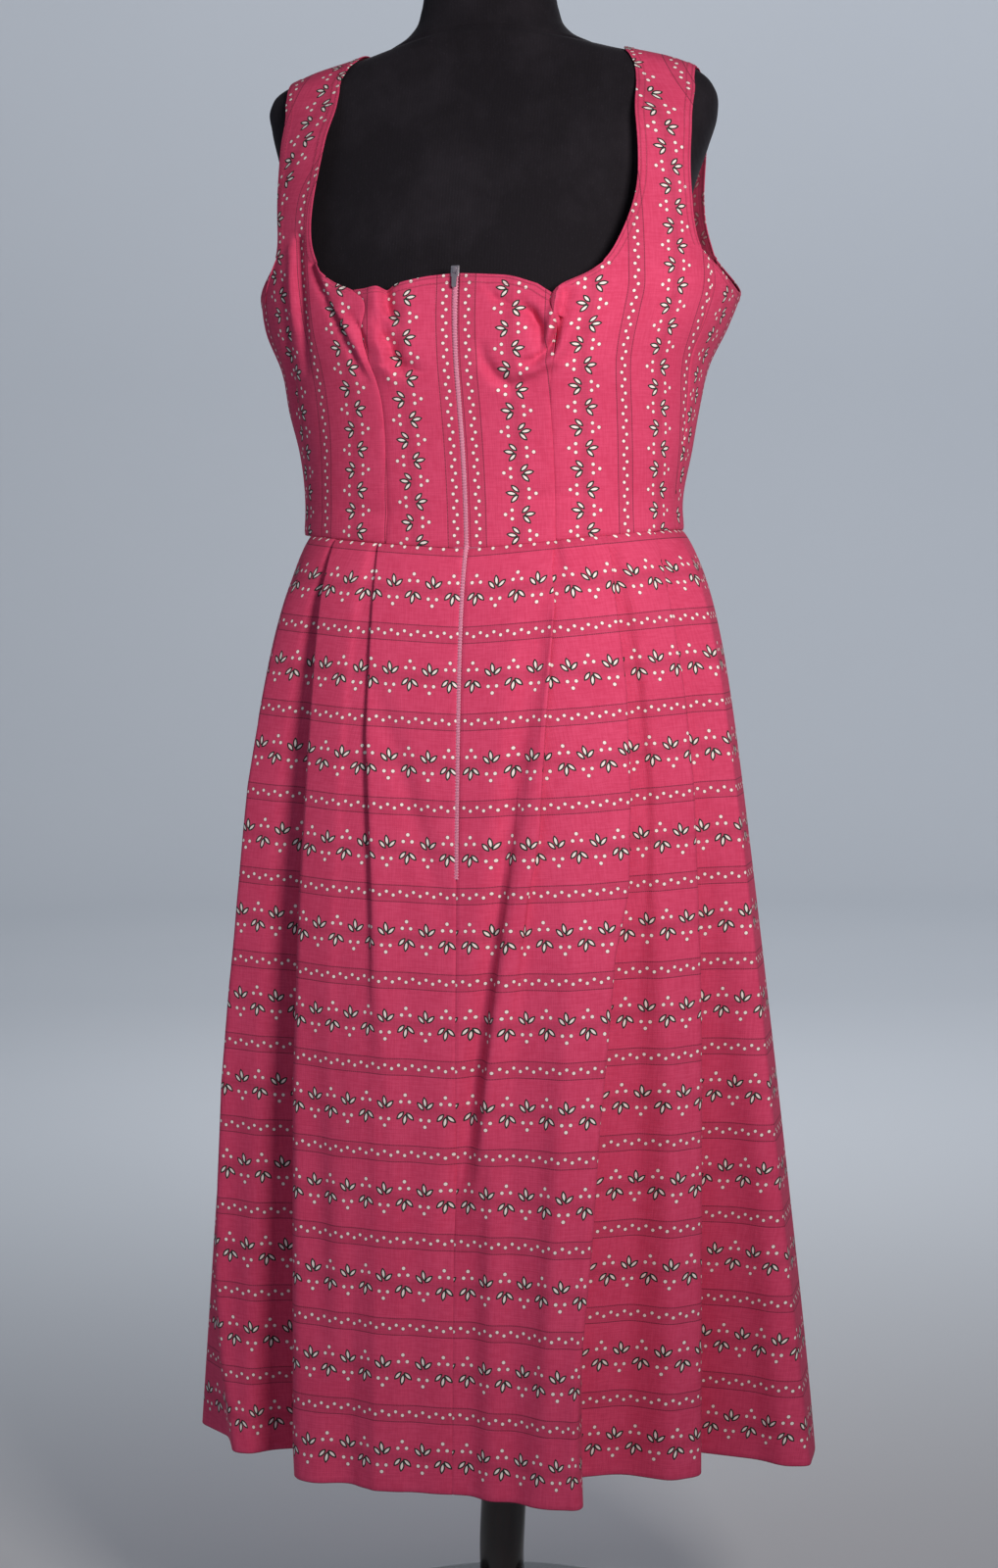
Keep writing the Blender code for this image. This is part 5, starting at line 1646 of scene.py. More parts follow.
BOW_RIGHT_3 = ((0.0, -0.0035), (0.095, 0.006), (0.18, 0.013), (0.27, 0.0172), (0.46, 0.0177),
    (0.60, 0.0150), (1.0, 0.004))
SKIRT_FRONT = {
    Side.LEFT: (
        Pleat(0.077, 0.036, 0.60, -0.050, -0.190, -0.062, -0.1895, BOW_LEFT_1),
        Pleat(0.122, 0.036, 1.0, -0.143, -0.171, -0.150, -0.092, BOW_LEFT_2),
        Pleat(0.169, 0.036, 1.0, -0.222, -0.122, -0.227, -0.082, BOW_LEFT_3),
    ),
    Side.RIGHT: (
        Pleat(0.077, 0.036, 0.62, 0.038, -0.198, 0.050, -0.1962, BOW_RIGHT_1),
        Pleat(0.122, 0.036, 1.0, 0.121, -0.210, 0.092, -0.126, BOW_RIGHT_2),
        Pleat(0.169, 0.036, 1.0, 0.194, -0.103, 0.168, -0.042, BOW_RIGHT_3),
    ),
}
SKIRT_BACK = {
    Side.LEFT: (
        Pleat(0.070, 0.036, 0.55, -0.044, 0.168, -0.056, 0.1675),
        Pleat(0.115, 0.036, 1.0, -0.122, 0.176, -0.116, 0.108),
        Pleat(0.162, 0.036, 1.0, -0.203, 0.116, -0.199, 0.052),
    ),
    Side.RIGHT: (
        Pleat(0.070, 0.036, 0.60, 0.036, 0.173, 0.048, 0.1725),
        Pleat(0.115, 0.036, 1.0, 0.112, 0.184, 0.104, 0.114),
        Pleat(0.162, 0.036, 1.0, 0.194, 0.124, 0.192, 0.056),
    ),
}
HEM_SIDE = {
    Side.LEFT: ((-0.268, -0.046), (-0.277, 0.000), (-0.270, 0.040)),
    Side.RIGHT: ((0.284, -0.058), (0.2825, 0.000), (0.274, 0.042)),
}
HEM_CENTRE_FRONT = (0.000, -0.186)
HEM_CENTRE_BACK = (0.000, 0.166)


class Anchor(NamedTuple):
    """A point of the skirt's section: where it is along the waist, folded and fallen open, its
    layer, its billow, the share of the length where it is open, its place at the hem, its kind,
    and its bow with the way it swings."""

    arc: float
    open_arc: float
    layer: float
    billow: float
    release: float
    hem: tuple[float, float]
    kind: str
    bow: Rows = ((0.0, 0.0), (1.0, 0.0))
    way: tuple[float, float] = (0.0, 0.0)


class Wave(NamedTuple):
    """A soft upright fold that the cloth hangs in: its distance from the centre front along the
    cloth at the waist and at the hem, its breadth and depth at the hem, and the shares of the
    length where it begins, is full and is gone again. A negative depth goes in."""

    at_waist: float
    at_hem: float
    breadth: float
    depth: float
    begin: float
    full: float
    gone: float = 2.0


FRONT_WAVES = (
    Wave(0.014, 0.016, 0.013, -0.0050, 0.25, 0.80),
    Wave(-0.074, -0.066, 0.007, 0.0024, 0.50, 0.95),
    Wave(-0.090, -0.090, 0.008, -0.0026, 0.50, 0.95),
    Wave(-0.040, -0.034, 0.016, -0.0030, 0.30, 0.90),
    Wave(-0.160, -0.105, 0.016, -0.0060, 0.35, 0.85),
    Wave(-0.250, -0.300, 0.020, -0.0070, 0.30, 0.80),
    Wave(0.084, -0.011, 0.006, 0.0048, 0.12, 0.34, 0.80),
    Wave(0.078, -0.035, 0.009, -0.0095, 0.01, 0.13, 0.82),
    Wave(-0.1106, 0.147, 0.010, -0.0036, 0.10, 0.22, 0.48),
    Wave(0.190, 0.120, 0.016, -0.0060, 0.35, 0.85),
    Wave(0.240, 0.240, 0.020, -0.0060, 0.30, 0.80),
    Wave(0.218, 0.286, 0.016, 0.0085, 0.20, 0.60),
    Wave(0.290, 0.463, 0.018, 0.0085, 0.25, 0.75),
    Wave(0.118, 0.080, 0.014, 0.0055, 0.28, 0.75),
    Wave(-0.200, -0.275, 0.014, 0.0050, 0.30, 0.80),
    Wave(-0.060, -0.118, 0.018, 0.0050, 0.35, 0.85),
)
BACK_WAVES = (
    Wave(0.480, 0.560, 0.020, -0.0050, 0.30, 0.85),
    Wave(0.800, 0.900, 0.022, -0.0045, 0.30, 0.85),
    Wave(0.950, 1.060, 0.020, -0.0050, 0.35, 0.90),
    Wave(1.200, 1.300, 0.020, -0.0045, 0.30, 0.85),
)
QUARTER = 20  # anchors of a quarter of the skirt, without its last, which the next one shares
SAMPLES = 24  # points of the sharp section from one anchor to the next
NEARLY_HALF = 0.45  # share of a span that its two turns may each take up
TURNED = {"turn_start": "turn_end", "turn_end": "turn_start"}


@dataclass(frozen=True)
class SkirtForm:
    """The skirt's form: its waist on the bodice, its folds at the hem, and how it goes from one
    to the other."""

    body: BodyForm
    hem_height: float = 0.215
    layer: float = 0.0015
    hip_spring: float = 0.20
    hip_depth: float = 0.06
    flare_power: float = 0.88
    softest: float = 0.0065
    fold_breadth: float = 0.007
    soft_breadth: float = 0.003
    soft_billow: float = 0.003
    open_step: float = 0.006
    open_from: float = 0.030
    tuck_run: float = 0.0015
    flank: float = 0.022
    short_span: float = 0.012
    layer_steps: int = 3
    past_turn: float = 1.3
    softening: float = 1.3
    # where the plain points lie on the way to a pleat's fold, and from its inner fold onwards
    to_fold: float = 0.55
    from_inner: float = 0.45
    reach: float = 0.002  # to both sides of a point of the waist, for its direction
    waist_points: int = 400

    def between(self, first: tuple, second: tuple, share: float) -> tuple:
        """The point at this share of the way from one plan point to another."""
        return tuple(a + (b - a) * share for a, b in zip(first, second))

    def beside(self, corner: tuple, other: tuple, distance: float) -> tuple:
        """A plan point this far from the corner towards the other point."""
        return self.between(corner, other, min(distance / math.dist(corner, other), NEARLY_HALF))

    def pleat_anchors(self, pleat: Pleat, previous: tuple, following: tuple) -> list[Anchor]:
        """The six points of a pleat: over its fold, back to the inner fold and out again."""
        fold, inner = (pleat.fold_x, pleat.fold_y), (pleat.inner_x, pleat.inner_y)
        start, soft = pleat.waist - pleat.tuck, pleat.release < 1.0
        breadth = self.soft_breadth if soft else self.fold_breadth
        lead = self.between(previous, fold, self.to_fold)
        trail = self.between(inner, following, self.from_inner)
        corners = (
            (start - self.tuck_run, self.layer, 0, lead, "plain"),
            (pleat.waist, self.layer, 1, self.beside(fold, previous, breadth), "turn_start"),
            (pleat.waist, 0.0, 1, self.beside(fold, inner, breadth), "turn_end"),
            (start, 0.0, -1, self.beside(inner, fold, breadth), "turn_start"),
            (start, -self.layer, -1, self.beside(inner, following, breadth), "turn_end"),
            (pleat.waist + self.tuck_run, -self.layer, 0, trail, "plain"),
        )
        anchors = []
        reach = math.dist(previous, following)
        way = ((following[0] - previous[0]) / reach, (following[1] - previous[1]) / reach)
        for number, (arc, layer, billow, hem, kind) in enumerate(corners):
            open_arc = pleat.waist - self.open_from + self.open_step * number if soft else arc
            billow = billow * self.soft_billow if soft else 0.0
            anchors.append(Anchor(arc, open_arc, layer, billow, pleat.release, hem, kind, pleat.bow, way))
        return anchors

    def quarter_anchors(self, side: Side, back: bool, girth: float) -> list[Anchor]:
        """Anchors of a quarter of the skirt, from its centre line to the side seam."""
        pleats = (SKIRT_BACK if back else SKIRT_FRONT)[side]
        centre = HEM_CENTRE_BACK if back else HEM_CENTRE_FRONT
        flank = HEM_SIDE[side][2 if back else 0]
        folds = [(pleat.fold_x, pleat.fold_y) for pleat in pleats] + [flank]
        anchors = [Anchor(0.0, 0.0, self.layer, 0.0, 1.0, centre, "plain")]
        previous = centre
        for pleat, following in zip(pleats, folds[1:]):
            anchors += self.pleat_anchors(pleat, previous, following)
            previous = (pleat.inner_x, pleat.inner_y)
        for arc, hem in ((girth - self.flank, flank), (girth, HEM_SIDE[side][1])):
            bow = BOW_FLANK[side]
            anchors.append(Anchor(arc, arc, -self.layer, 0.0, 1.0, hem, "plain", bow, (1.0, 0.0)))
        return anchors

    def waist_line(self, side: Side, back: bool) -> tuple[Array, Array]:
        """Arc lengths and points of a quarter of the waist, from its centre line to the side."""
        angles = side.value * np.linspace(math.pi if back else 0.0, math.pi / 2, self.waist_points)
        points = self.body.point(angles, self.body.waist_height(angles))
        return run_length(points[None, :, :2], 1)[0], points

    def waist_place(self, line: tuple[Array, Array], arc: Array) -> tuple[Array, Array]:
        """The points at these arc lengths along the waist, and which way is outwards there."""
        lengths, points = line
        place = read_line(arc, lengths, points)
        ahead, behind = (read_line(arc + step, lengths, points) for step in (self.reach, -self.reach))
        tangent = unit((ahead - behind)[:, :2])
        normal = np.column_stack([-tangent[:, 1], tangent[:, 0]])
        middle = np.array([self.body.centre_x, 0.0])
        return place, normal * np.sign((normal * (place[:, :2] - middle)).sum(axis=1, keepdims=True))

    def flare(self, level: float) -> float:
        """How much of its way outwards the skirt has gone: a spring over the hip, then a power."""
        spring = self.hip_spring * (1 - math.exp(-level / self.hip_depth))
        return spring + (1 - self.hip_spring) * level**self.flare_power

    def quarter(self, side: Side, back: bool, level: float) -> tuple[Array, list[Anchor]]:
        """Close points of a quarter of the skirt at this level: between the anchors' places on
        the waist and at the hem, by the flare, plus the layer outwards."""
        line = self.waist_line(side, back)
        anchors = self.quarter_anchors(side, back, line[0][-1])
        rows = []
        for anchor in anchors:
            opened, billow = 0.0, 0.0
            if anchor.release < 1.0:
                opened = float(ease(level, 0, anchor.release))
                billow = anchor.billow * math.sin(math.pi * min(level / anchor.release, 1.0))
            arc = anchor.arc + (anchor.open_arc - anchor.arc) * opened
            swung = float(np.interp(level, *np.array(anchor.bow).T))
            swing = (anchor.way[0] * swung, anchor.way[1] * swung)
            rows.append((arc, anchor.layer + billow, *anchor.hem, *swing))
        rows = self.even_swing(np.array(rows), anchors)
        at = np.linspace(0, len(rows) - 1, (len(rows) - 1) * SAMPLES + 1)
        values = [np.interp(at, range(len(rows)), column) for column in rows.T]
        waist, outward = self.waist_place(line, values[0])
        flare = self.flare(level)
        plan = waist[:, :2] * (1 - flare) + np.column_stack(values[2:4]) * flare
        plan += outward * values[1][:, None] + np.column_stack(values[4:])
        heights = waist[:, 2] + (self.hem_height - waist[:, 2]) * level
        return np.column_stack([plan, heights]), anchors

    def even_swing(self, rows: Array, anchors: list[Anchor]) -> Array:
        """Let the points between two pleats swing by something between what the pleats do."""
        last = len(anchors) - 1
        own = [n for n, anchor in enumerate(anchors) if anchor.kind != "plain" or n in (0, last - 1, last)]
        for column in (4, 5):
            rows[:, column] = np.interp(range(last + 1), own, rows[own, column])
        return rows


class Section:
    """The skirt's closed section at one level, with its corners rounded.

    It runs from the centre front to the right, round the back and home. A point of it is the
    mean of the sharp section over a window on both sides, from the running sum of its points.
    """

    def __init__(self, form: SkirtForm, level: float) -> None:
        """Work out the sharp section, its lengths and its running sums."""
        points, self.kinds, self.steps_in = [], [], []
        quarters = ((Side.RIGHT, False), (Side.RIGHT, True), (Side.LEFT, True), (Side.LEFT, False))
        for side, back in quarters:
            rows, anchors = form.quarter(side, back, level)
            kinds = [anchor.kind for anchor in anchors]
            arcs = [anchor.arc for anchor in anchors]
            if back == (side is Side.RIGHT):
                rows, arcs = rows[::-1], arcs[::-1]
                kinds = [TURNED.get(kind, kind) for kind in kinds[::-1]]
            points.append(rows[:-1])
            self.kinds += kinds[:-1]
            spans = np.abs(np.diff(arcs))
            self.steps_in += [form.layer_steps if span > form.short_span else 1 for span in spans]
        self.past_turn = form.past_turn
        self.points = np.vstack(points + [points[0][:1]])
        lengths = np.linalg.norm(np.diff(self.points[:, :2], axis=0), axis=1)
        self.lengths = np.maximum(lengths, 1e-9)
        self.distance = np.concatenate([[0], np.cumsum(self.lengths)])
        middles = (self.points[1:] + self.points[:-1]) / 2
        self.sums = np.vstack([np.zeros(3), np.cumsum(middles * self.lengths[:, None], axis=0)])
        self.window = form.layer / 2 + (form.softest - form.layer / 2) * level**form.softening
        self.anchors = self.distance[::SAMPLES]

    def summed(self, at: Array) -> Array:
        """Running sum of the sharp section's points up to these distances round it."""
        total = self.distance[-1]
        turns = np.floor(at / total)
        rest = at - turns * total
        last = len(self.lengths) - 1
        row = np.clip(np.searchsorted(self.distance, rest, side="right") - 1, 0, last)
        part = (rest - self.distance[row])[:, None]
        start, end = self.points[row], self.points[row + 1]
        middle = start + (end - start) * part / self.lengths[row][:, None] / 2
        return turns[:, None] * self.sums[-1] + self.sums[row] + middle * part

    def at(self, distances: Array) -> Array:
        """Points of the rounded section at these distances from the centre front."""
        span = self.summed(distances + self.window) - self.summed(distances - self.window)
        return span / (2 * self.window)

    def stations(self, first: int, last: int) -> Array:
        """Distances of the points that a panel's solid has between two anchors."""
        found = [self.anchors[first]]
        for number in range(first, last):
            start, end = self.anchors[number], self.anchors[number + 1]
            past = min(self.past_turn * self.window, NEARLY_HALF * (end - start))
            if self.kinds[number] == "turn_start":
                found.append((start + end) / 2)
                continue
            if self.kinds[number] == "turn_end":
                start += past
                found.append(start)
            if self.kinds[(number + 1) % len(self.kinds)] == "turn_start":
                end -= past
            found += list(np.linspace(start, end, self.steps_in[number] + 1)[1:])
        return np.array(found)


# Extra rows of points below the waist seam, where the cloth rolls under
BELOW_WAIST = (0.0008, 0.0018, 0.0030, 0.0044, 0.0062, 0.0085, 0.0995 / 9)


@dataclass
class SkirtPanel:
    """One panel of the skirt, between two of the section's anchors."""

    node: str
    first: int
    last: int
    column_step: float
    start_gap: Callable[[Array], Array]
    end_gap: Callable[[Array], Array]
    phase: float


@dataclass
class Skirt:
    """The skirt: two front halves and the back, hung in pleats from the waist seam."""

    body: BodyForm
    right_side: Material
    wrong_side: Material
    waist_gap: float = 0.0003
    rows: int = 190
    seam_roll: float = 0.0012
    seam_breadth: float = 0.0030
    length: float = 0.785
    wave_reach: float = 0.004
    wave_end: float = 0.25  # share of the length over which a soft fold goes out

    def __post_init__(self) -> None:
        """Work out the levels, close together below the waist, and a section for each."""
        self.form = SkirtForm(self.body)
        even = np.linspace(0, 1, self.rows)
        near = np.array(BELOW_WAIST) / self.length
        self.levels = np.unique(np.concatenate([even, near]))
        self.sections = [Section(self.form, float(level)) for level in self.levels]
        self.wave_places = [(wave, self.wave_lines(wave)) for wave in FRONT_WAVES + BACK_WAVES]
        self.panels = (
            SkirtPanel("skirt_front_right", 0, QUARTER, 0.0036, zip_half_gap, plain_gap, 0.029),
            SkirtPanel("skirt_back", QUARTER, 3 * QUARTER, 0.0062, plain_gap, plain_gap, 0.010),
            SkirtPanel("skirt_front_left", 3 * QUARTER, 4 * QUARTER, 0.0036, plain_gap, zip_half_gap, -0.025),
        )

    def fine_places(self, panel: SkirtPanel) -> Array:
        """Where the fine columns lie among the coarse stations: more where a span is longer."""
        halfway = self.sections[len(self.sections) // 2]
        measured = (halfway, self.sections[-1])
        spans = [np.diff(section.stations(panel.first, panel.last)) for section in measured]
        widest = np.max(spans, axis=0)
        counts = np.maximum(np.ceil(widest / panel.column_step).astype(int), 1)
        pieces = [number + np.arange(count) / count for number, count in enumerate(counts)]
        return np.concatenate(pieces + [[len(counts)]])

    def grid(self, panel: SkirtPanel) -> tuple[Array, Array]:
        """The panel's points and their distances along the cloth from the centre front."""
        fine = self.fine_places(panel)
        rows, arcs = [], []
        for section in self.sections:
            coarse = section.stations(panel.first, panel.last)
            ends = section.at(coarse[[0, -1]])[:, 2]
            coarse[0] += float(panel.start_gap(ends[0]))
            coarse[-1] -= float(panel.end_gap(ends[1]))
            places = np.interp(fine, np.arange(len(coarse)), coarse)
            rows.append(section.at(places))
            arcs.append(places - (section.distance[-1] if panel.last == 4 * QUARTER else 0.0))
        return np.array(rows), np.array(arcs)

    def wave_lines(self, wave: Wave) -> tuple[Array, Array]:
        """Where the soft fold's line is at each level, and which way is outwards there."""
        middles = wave.at_waist + (wave.at_hem - wave.at_waist) * self.levels
        offsets = np.array([-self.wave_reach, 0.0, self.wave_reach])
        rows = [section.at(middle + offsets)[:, :2] for section, middle in zip(self.sections, middles)]
        near = np.array(rows)
        along = unit(near[:, 2] - near[:, 0])
        outward = np.column_stack([along[:, 1], -along[:, 0]])
        radial = near[:, 1] - np.array([self.body.centre_x, 0.0])
        return near[:, 1], outward * np.sign((outward * radial).sum(axis=1, keepdims=True))

    def waves(self, grid: Array) -> Array:
        """Hang the panel in its soft folds: each moves all the layers that lie at its place by its
        depth times the bell curve of the distance from the fold's line."""
        move = np.zeros(grid.shape[:2] + (2,))
        for wave, (line, outward) in self.wave_places:
            grown = ease(self.levels, wave.begin, wave.full)
            grown = grown * (1 - ease(self.levels, wave.gone - self.wave_end, wave.gone))
            away = np.linalg.norm(grid[..., :2] - line[:, None], axis=2) / wave.breadth
            move += (wave.depth * grown[:, None] * np.exp(-(away**2)))[..., None] * outward[:, None]
        moved = grid.copy()
        moved[..., :2] += move
        return moved

    def build(self) -> None:
        """Build the three panels."""
        for panel in self.panels:
            grid, arcs = self.grid(panel)
            grid = self.waves(grid)
            drop = grid[0, :, 2] - grid[..., 2]
            inward = self.seam_roll * np.exp(-drop / self.seam_breadth)
            radial = grid[..., :2] - np.array([self.body.centre_x, 0.0])
            grid[..., :2] -= unit(radial) * inward[..., None]
            grid[0, :, 2] -= self.waist_gap
            down = np.broadcast_to(-self.levels[:, None] * self.length, arcs.shape)
            pattern = np.stack([arcs - panel.phase, down], axis=-1)
            obj = cloth_shell(f"{panel.node}_cloth", grid, pattern, np.ones_like(pattern))
            dress(obj, "cloth", [self.right_side, self.wrong_side], panel.node)

    def centre_line(self, low: float) -> Array:
        """Points down the centre front of the skirt, to this height."""
        points = np.array([section.at(np.array([0.0]))[0] for section in self.sections])
        return points[points[:, 2] > low]


# The zip


@dataclass
class Zip:
    """The zip: a woven tape behind the two edges and a wound coil along its middle. The slider
    and its pull tab keep their own solids."""

    body: BodyForm
    skirt: Skirt
    top: float = 1.2195
    end: float = 0.720
    behind: float = 0.0013
    tape_half: float = 0.0110
    tape_thick: float = 0.0008
    turn_pitch: float = 0.00125
    turn_half: float = 0.0025
    turn_shift: float = 0.00035
    turn_radius: float = 0.00058
    coil_lift: float = 0.0010
    tape_edge: float = 0.0003
    tape_columns: int = 15
    turn_steps: int = 7
    arch_power: int = 4
    taper_power: int = 6
    taper_least: float = 0.15
    waist_step: float = 0.001  # the bodice's part of the line ends this far above the waist
    upper_points: int = 60
    passes: int = 3  # in which the line is evened out

    def centre_line(self) -> tuple[Array, Array, Array]:
        """Even points down the zip, in the middle of the wall, and which way is outwards."""
        heights = np.linspace(self.top, self.body.waist_front + self.waist_step, self.upper_points)
        upper = self.body.point(0.0, heights)
        lower = self.skirt.centre_line(self.end)[1:]
        points = np.vstack([upper, lower])
        lengths = run_length(points[None], 1)[0]
        at = np.arange(0, lengths[-1], self.turn_pitch)
        line = read_line(at, lengths, points)
        for _ in range(self.passes):
            line[1:-1] = (line[:-2] + line[1:-1] + line[2:]) / 3
        down = unit(np.gradient(line, axis=0))
        outward = unit(np.column_stack([np.zeros(len(line)), down[:, 2], -down[:, 1]]))
        return line, down, outward

    def tape(self, line: Array, outward: Array, finish: Material) -> Piece:
        """The tape: a flat strip behind the edges, with its width set out in even steps."""
        across = np.linspace(-self.tape_half, self.tape_half, self.tape_columns)
        middle = line - outward * self.behind
        grid = middle[::2, None] + across[None, :, None] * np.array([1.0, 0.0, 0.0])
        pattern = np.stack(np.broadcast_arrays(across[None], run_length(grid, 0)), axis=-1)
        obj = cloth_shell("zip_tape_woven", grid, pattern, pattern, Hem(self.tape_thick, self.tape_edge))
        dress(obj, "zip", [finish, finish], "zip_tape")
        return obj

    def coil(self, line: Array, down: Array, outward: Array, finish: Material) -> Piece:
        """The coil's turns: bent bars laid across the zip, from the left and the right in turn.

        A bar's middle line is a low arch, high in the middle, and its section a hexagon.
        """
        sides, steps = 6, self.turn_steps
        along = np.linspace(-1, 1, steps)
        arch = 1 - along**self.arch_power
        angles = np.arange(sides) * TAU / sides
        from_side = np.where(np.arange(len(line)) % 2, 1.0, -1.0)[:, None]
        across = along[None] * self.turn_half + from_side * self.turn_shift
        lift = self.coil_lift * arch[None] - self.behind + self.tape_thick / 2
        x_axis = np.array([1.0, 0.0, 0.0])
        middles = line[:, None] + across[..., None] * x_axis + lift[..., None] * outward[:, None]
        thick = self.turn_radius * np.sqrt(np.maximum(1 - along**self.taper_power, self.taper_least))
        ring = np.cos(angles)[None, None, :, None] * outward[:, None, None]
        ring = ring + np.sin(angles)[None, None, :, None] * down[:, None, None]
        points = middles[:, :, None] + ring * thick[None, :, None, None]
        block = steps * sides
        caps = np.array([[0, 1, 2, 3], [0, 3, 4, 5]])
        faces = np.vstack([grid_quads(steps, sides, True), caps, caps[:, ::-1] + block - sides])
        quads = faces[None] + block * np.arange(len(line))[:, None, None]
        obj = make_mesh("zip_coil_turns", points.reshape(-1, 3), quads.reshape(-1, 4))
        fix_normals(obj)
        return dress(obj, "zip", [finish], "zip_tape")

    def build(self, tape: Material, coil: Material, metal: Material, nodes: dict) -> None:
        """Build the tape and coil and give the slider and pull tab their metal."""
        line, down, outward = self.centre_line()
        self.tape(line, outward, tape)
        self.coil(line, down, outward, coil)
        for name in ("zip_slider", "zip_pull_tab"):
            for place in nodes[name].material_slots:
                place.material = metal


# The dress form and its stand


@dataclass
class DressForm:
    """The limbless form with its neck: a smooth shell through its sections, with a sewn seam
    round the root of the neck."""

    body: BodyForm
    columns: int = 144
    rows: int = 200
    neck_seam: float = 1.4270
    seam_arch: float = 0.0060
    seam_depth: float = 0.0022
    seam_breadth: float = 0.0018
    cap_shares: tuple[float, ...] = (0.97, 0.5)

    def build(self, jersey: Material) -> Piece:
        """Build the shell: sections at close heights, closed by a pole at each end."""
        heights = [ring.height for ring in FORM_RINGS]
        low, high = heights[0], heights[-1]
        spaced = np.interp(np.linspace(0, len(heights) - 1, self.rows), range(len(heights)), heights)
        angles = np.arange(self.columns) * TAU / self.columns
        angle, height = np.meshgrid(angles, spaced)
        grid = self.body.section(angle, height, ring_sizes(FORM_RINGS, height))
        normals = unit(grid - np.array([self.body.centre_x, 0.0, 0.0]) - height[..., None] * [0, 0, 1])
        place = self.neck_seam + self.seam_arch * np.cos(2 * angle) - self.seam_arch * (np.cos(angle) < 0)
        trough = np.exp(-(((height - place) / self.seam_breadth) ** 2))
        grid = grid - normals * (self.seam_depth * trough)[..., None]
        poles = np.array([[self.body.centre_x, 0.0, level] for level in (high, low)])
        crown, base = (
            np.stack([pole + (ring - pole) * share for share in self.cap_shares])
            for ring, pole in zip((grid[-1], grid[0]), poles)
        )
        rings = np.concatenate([crown[::-1], grid[::-1], base])
        obj = closed_body("form_jersey_shell", rings, poles)
        return dress(obj, "form", [jersey], "form_torso")


@dataclass
class Stand:
    """The stand: a barley-twist pole in a round turned foot."""

    foot_radius: float = 0.175
    foot_height: float = 0.030
    pole_radius: float = 0.0215
    lobes: int = 3
    lobe_height: float = 0.0032
    pitch: float = 0.160
    top: float = 0.7397
    bottom: float = 0.0303
    lobe_power: float = 1.6
    foot_roundness: float = 0.6
    collar: tuple[float, ...] = (0.003, 0.030, 0.032, 0.036, 0.060, 0.110)
    bevel: tuple[float, float] = (0.001, 0.003)  # of the foot's lower edge
    hollow: float = 0.02
    pole_rows: int = 320
    rim_rows: int = 24
    columns: int = 72

    def build(self, lacquer: Material) -> None:
        """Build the pole, whose lobed section turns as it rises, and the foot."""
        angles = np.arange(self.columns) * TAU / self.columns
        heights = np.linspace(self.bottom, self.top, self.pole_rows)[:, None]
        turn = TAU * heights / (self.pitch * self.lobes)
        wave = np.abs(np.sin(self.lobes * (angles[None] - turn) / 2))
        radius = self.pole_radius - self.lobe_height * wave**self.lobe_power
        self.close("pole_turned", turned_rings(radius, heights, self.columns), lacquer, "stand_pole")
        edge = self.foot_height * self.foot_roundness
        arc = np.linspace(math.pi / 2, 0, self.rim_rows)
        full = self.foot_radius
        rim = full - edge + edge * np.cos(arc)
        low, under = self.bevel
        across = np.concatenate([self.collar, rim, [full, full - low, full - under, self.hollow]])
        over = self.foot_height - edge + edge * np.sin(arc)
        top = np.full(len(self.collar), self.foot_height)
        rise = np.concatenate([top, over, [under, low, 0.0, 0.0]])
        rings = turned_rings(across[:, None], rise[:, None], 2 * self.columns)
        self.close("foot_turned", rings, lacquer, "stand_foot")

    def close(self, name: str, rings: Array, lacquer: Material, node: str) -> None:
        """Close a turned body at the middle of its first and last ring, and dress it."""
        dress(closed_body(name, rings, rings[[0, -1]].mean(axis=1)), "stand", [lacquer], node)


# The studio


NEARLY_UP = (0.01, 0.02, 1.0)  # never the way that a lamp looks


class Lamp(NamedTuple):
    """A square soft light: where it stands, its size, power and colour, what it looks at and the
    angle by which it fans out."""

    name: str
    place: tuple[float, float, float]
    size: float
    power: float
    colour: str
    aim: tuple[float, float, float] = (0.0, 0.0, 0.9)
    spread: float = math.pi


LAMPS = (
    Lamp("key_light", (0.94, -1.36, 1.38), 0.42, 6.5, "#FFF5EC", (0.0, 0.0, 1.02), math.radians(90)),
    Lamp("fill_light", (-1.9, -2.3, 1.7), 1.8, 10.0, "#F2F4FF"),
    Lamp("back_light", (-0.6, 2.4, 2.3), 1.6, 18.0, "#FAFCFF"),
    Lamp("backdrop_light", (0.0, 2.2, 4.8), 4.0, 190.0, "#F4F8FF", (0.0, 7.2, 2.6)),
)


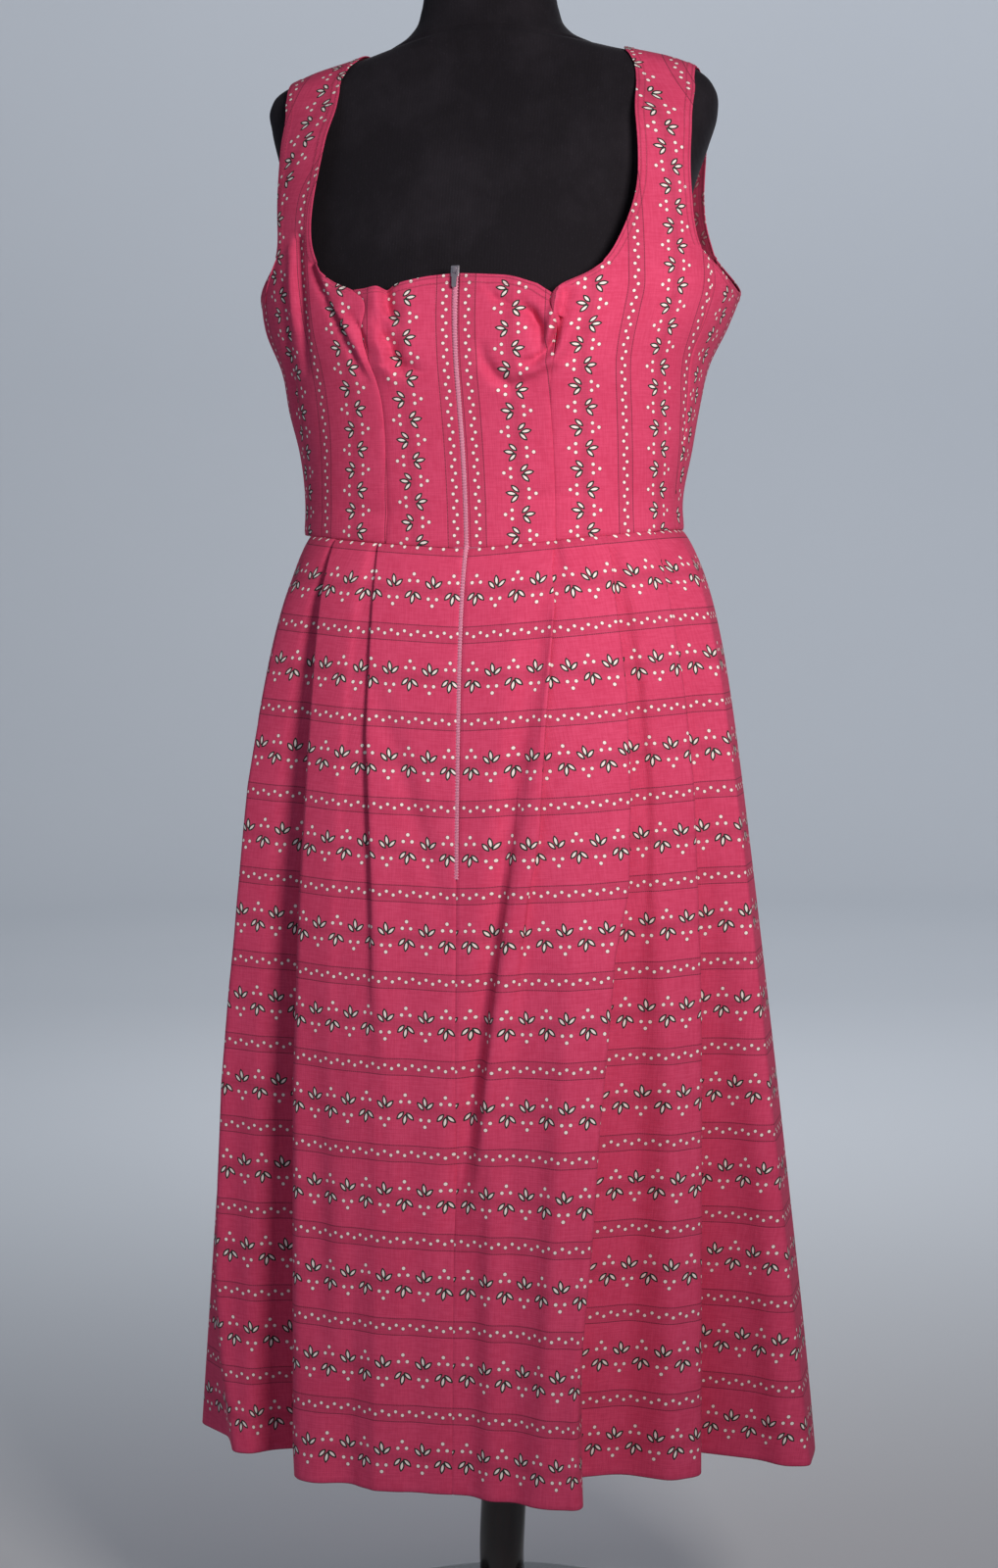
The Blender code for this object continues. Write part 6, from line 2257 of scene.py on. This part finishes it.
@dataclass
class Studio:
    """A pale floor that sweeps up all round, soft light from above and in front, and the camera
    at the picture's viewing angle."""

    floor_radius: float = 5.6
    sweep_radius: float = 1.6
    wall_height: float = 3.4
    floor_rings: tuple[float, ...] = (0.01, 1.0, 3.0)
    sweep_rows: int = 24
    turn: float = math.radians(13.0)
    distance: float = 2.4
    eye_height: float = 0.985
    aim_height: float = 0.79
    roll: float = math.radians(0.7)
    aside: float = 0.0043
    lens: float = 63.0
    sensor: float = 36.0
    columns: int = 96
    air: str = "#DCE4EE"
    air_strength: float = 0.17

    def sweep(self, paint: Material) -> None:
        """The floor and wall as one turned surface: flat, a quarter round, then upright."""
        arc = np.linspace(0, math.pi / 2, self.sweep_rows)
        quarter = self.floor_radius + self.sweep_radius * np.sin(arc)
        flat = self.floor_rings
        radius = np.concatenate([flat, quarter, [self.floor_radius + self.sweep_radius]])
        rise = self.sweep_radius * (1 - np.cos(arc))
        height = np.concatenate([np.zeros(len(flat)), rise, [self.wall_height]])
        grid = turned_rings(radius[:, None], height[:, None], self.columns)
        points = np.vstack([grid.reshape(-1, 3), np.zeros((1, 3))])
        around = np.arange(self.columns)
        hub = np.stack([around, np.roll(around, -1), np.full(self.columns, len(points) - 1)], axis=1)
        floor = make_mesh("studio_sweep", points, grid_quads(len(radius), self.columns, True), hub)
        floor.data.materials.append(paint)

    def light(self, lamp: Lamp) -> None:
        """Set up a lamp, turned to what it looks at."""
        data = bpy.data.lights.new(lamp.name, "AREA")
        data.size, data.energy, data.spread = lamp.size, lamp.power, lamp.spread
        data.color = linear(lamp.colour)[:3]
        obj = add_object(lamp.name, data)
        obj.location = lamp.place
        back = unit(np.array(lamp.place) - np.array(lamp.aim))
        right = unit(np.cross(NEARLY_UP, back))
        obj.rotation_euler = Matrix(np.column_stack([right, np.cross(back, right), back]).tolist()).to_euler()

    def camera(self) -> None:
        """Set the camera: it looks slightly down, and its picture leans a little to the left."""
        ahead = np.array([-math.sin(self.turn), math.cos(self.turn), 0.0])
        right = np.array([math.cos(self.turn), math.sin(self.turn), 0.0])
        upward = np.array([0.0, 0.0, 1.0])
        pitch = math.atan2(self.eye_height - self.aim_height, self.distance)
        forward = ahead * math.cos(pitch) - upward * math.sin(pitch)
        over = ahead * math.sin(pitch) + upward * math.cos(pitch)
        place = -self.distance * ahead + self.eye_height * upward + self.aside * right
        x_axis = right * math.cos(self.roll) - over * math.sin(self.roll)
        y_axis = over * math.cos(self.roll) + right * math.sin(self.roll)
        data = bpy.data.cameras.new("camera")
        data.sensor_width = self.sensor
        data.lens = self.lens
        camera = add_object("camera", data)
        matrix = np.eye(4)
        matrix[:3, 0], matrix[:3, 1], matrix[:3, 2], matrix[:3, 3] = x_axis, y_axis, -forward, place
        camera.matrix_world = Matrix(matrix.tolist())
        bpy.context.scene.camera = camera

    def build(self, paint: Material) -> None:
        """Set up the floor, the lights, the surroundings and the camera."""
        self.sweep(paint)
        for lamp in LAMPS:
            self.light(lamp)
        world = bpy.data.worlds.new("studio_air")
        world.use_nodes = True
        shade = world.node_tree.nodes["Background"]
        shade.inputs["Color"].default_value = linear(self.air)
        shade.inputs["Strength"].default_value = self.air_strength
        bpy.context.scene.world = world
        bpy.context.scene.view_settings.view_transform = "Standard"
        self.camera()


def main() -> None:
    """Build the studio, the stand and form, and the dress from the bodice down."""
    logging.basicConfig(level=logging.INFO, format="%(name)s %(message)s")
    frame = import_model()
    Studio().build(StudioPaint().build())
    body = BodyForm()
    Stand().build(LacqueredBeech().build())
    DressForm(body).build(FormJersey().build())
    cotton, reverse = PrintedCotton().build(), PrintedCotton(wrong_side=True).build()
    bodice = Bodice(body, cotton, reverse)
    bodice.build()
    Stitching().build("topstitching", bodice.stitch_lines, Thread().build())
    skirt = Skirt(body, cotton, reverse)
    skirt.build()
    Zip(body, skirt).build(ZipTape().build(), ZipCoil().build(), SliderMetal().build(), frame["nodes"])


if __name__ == "__main__":
    main()
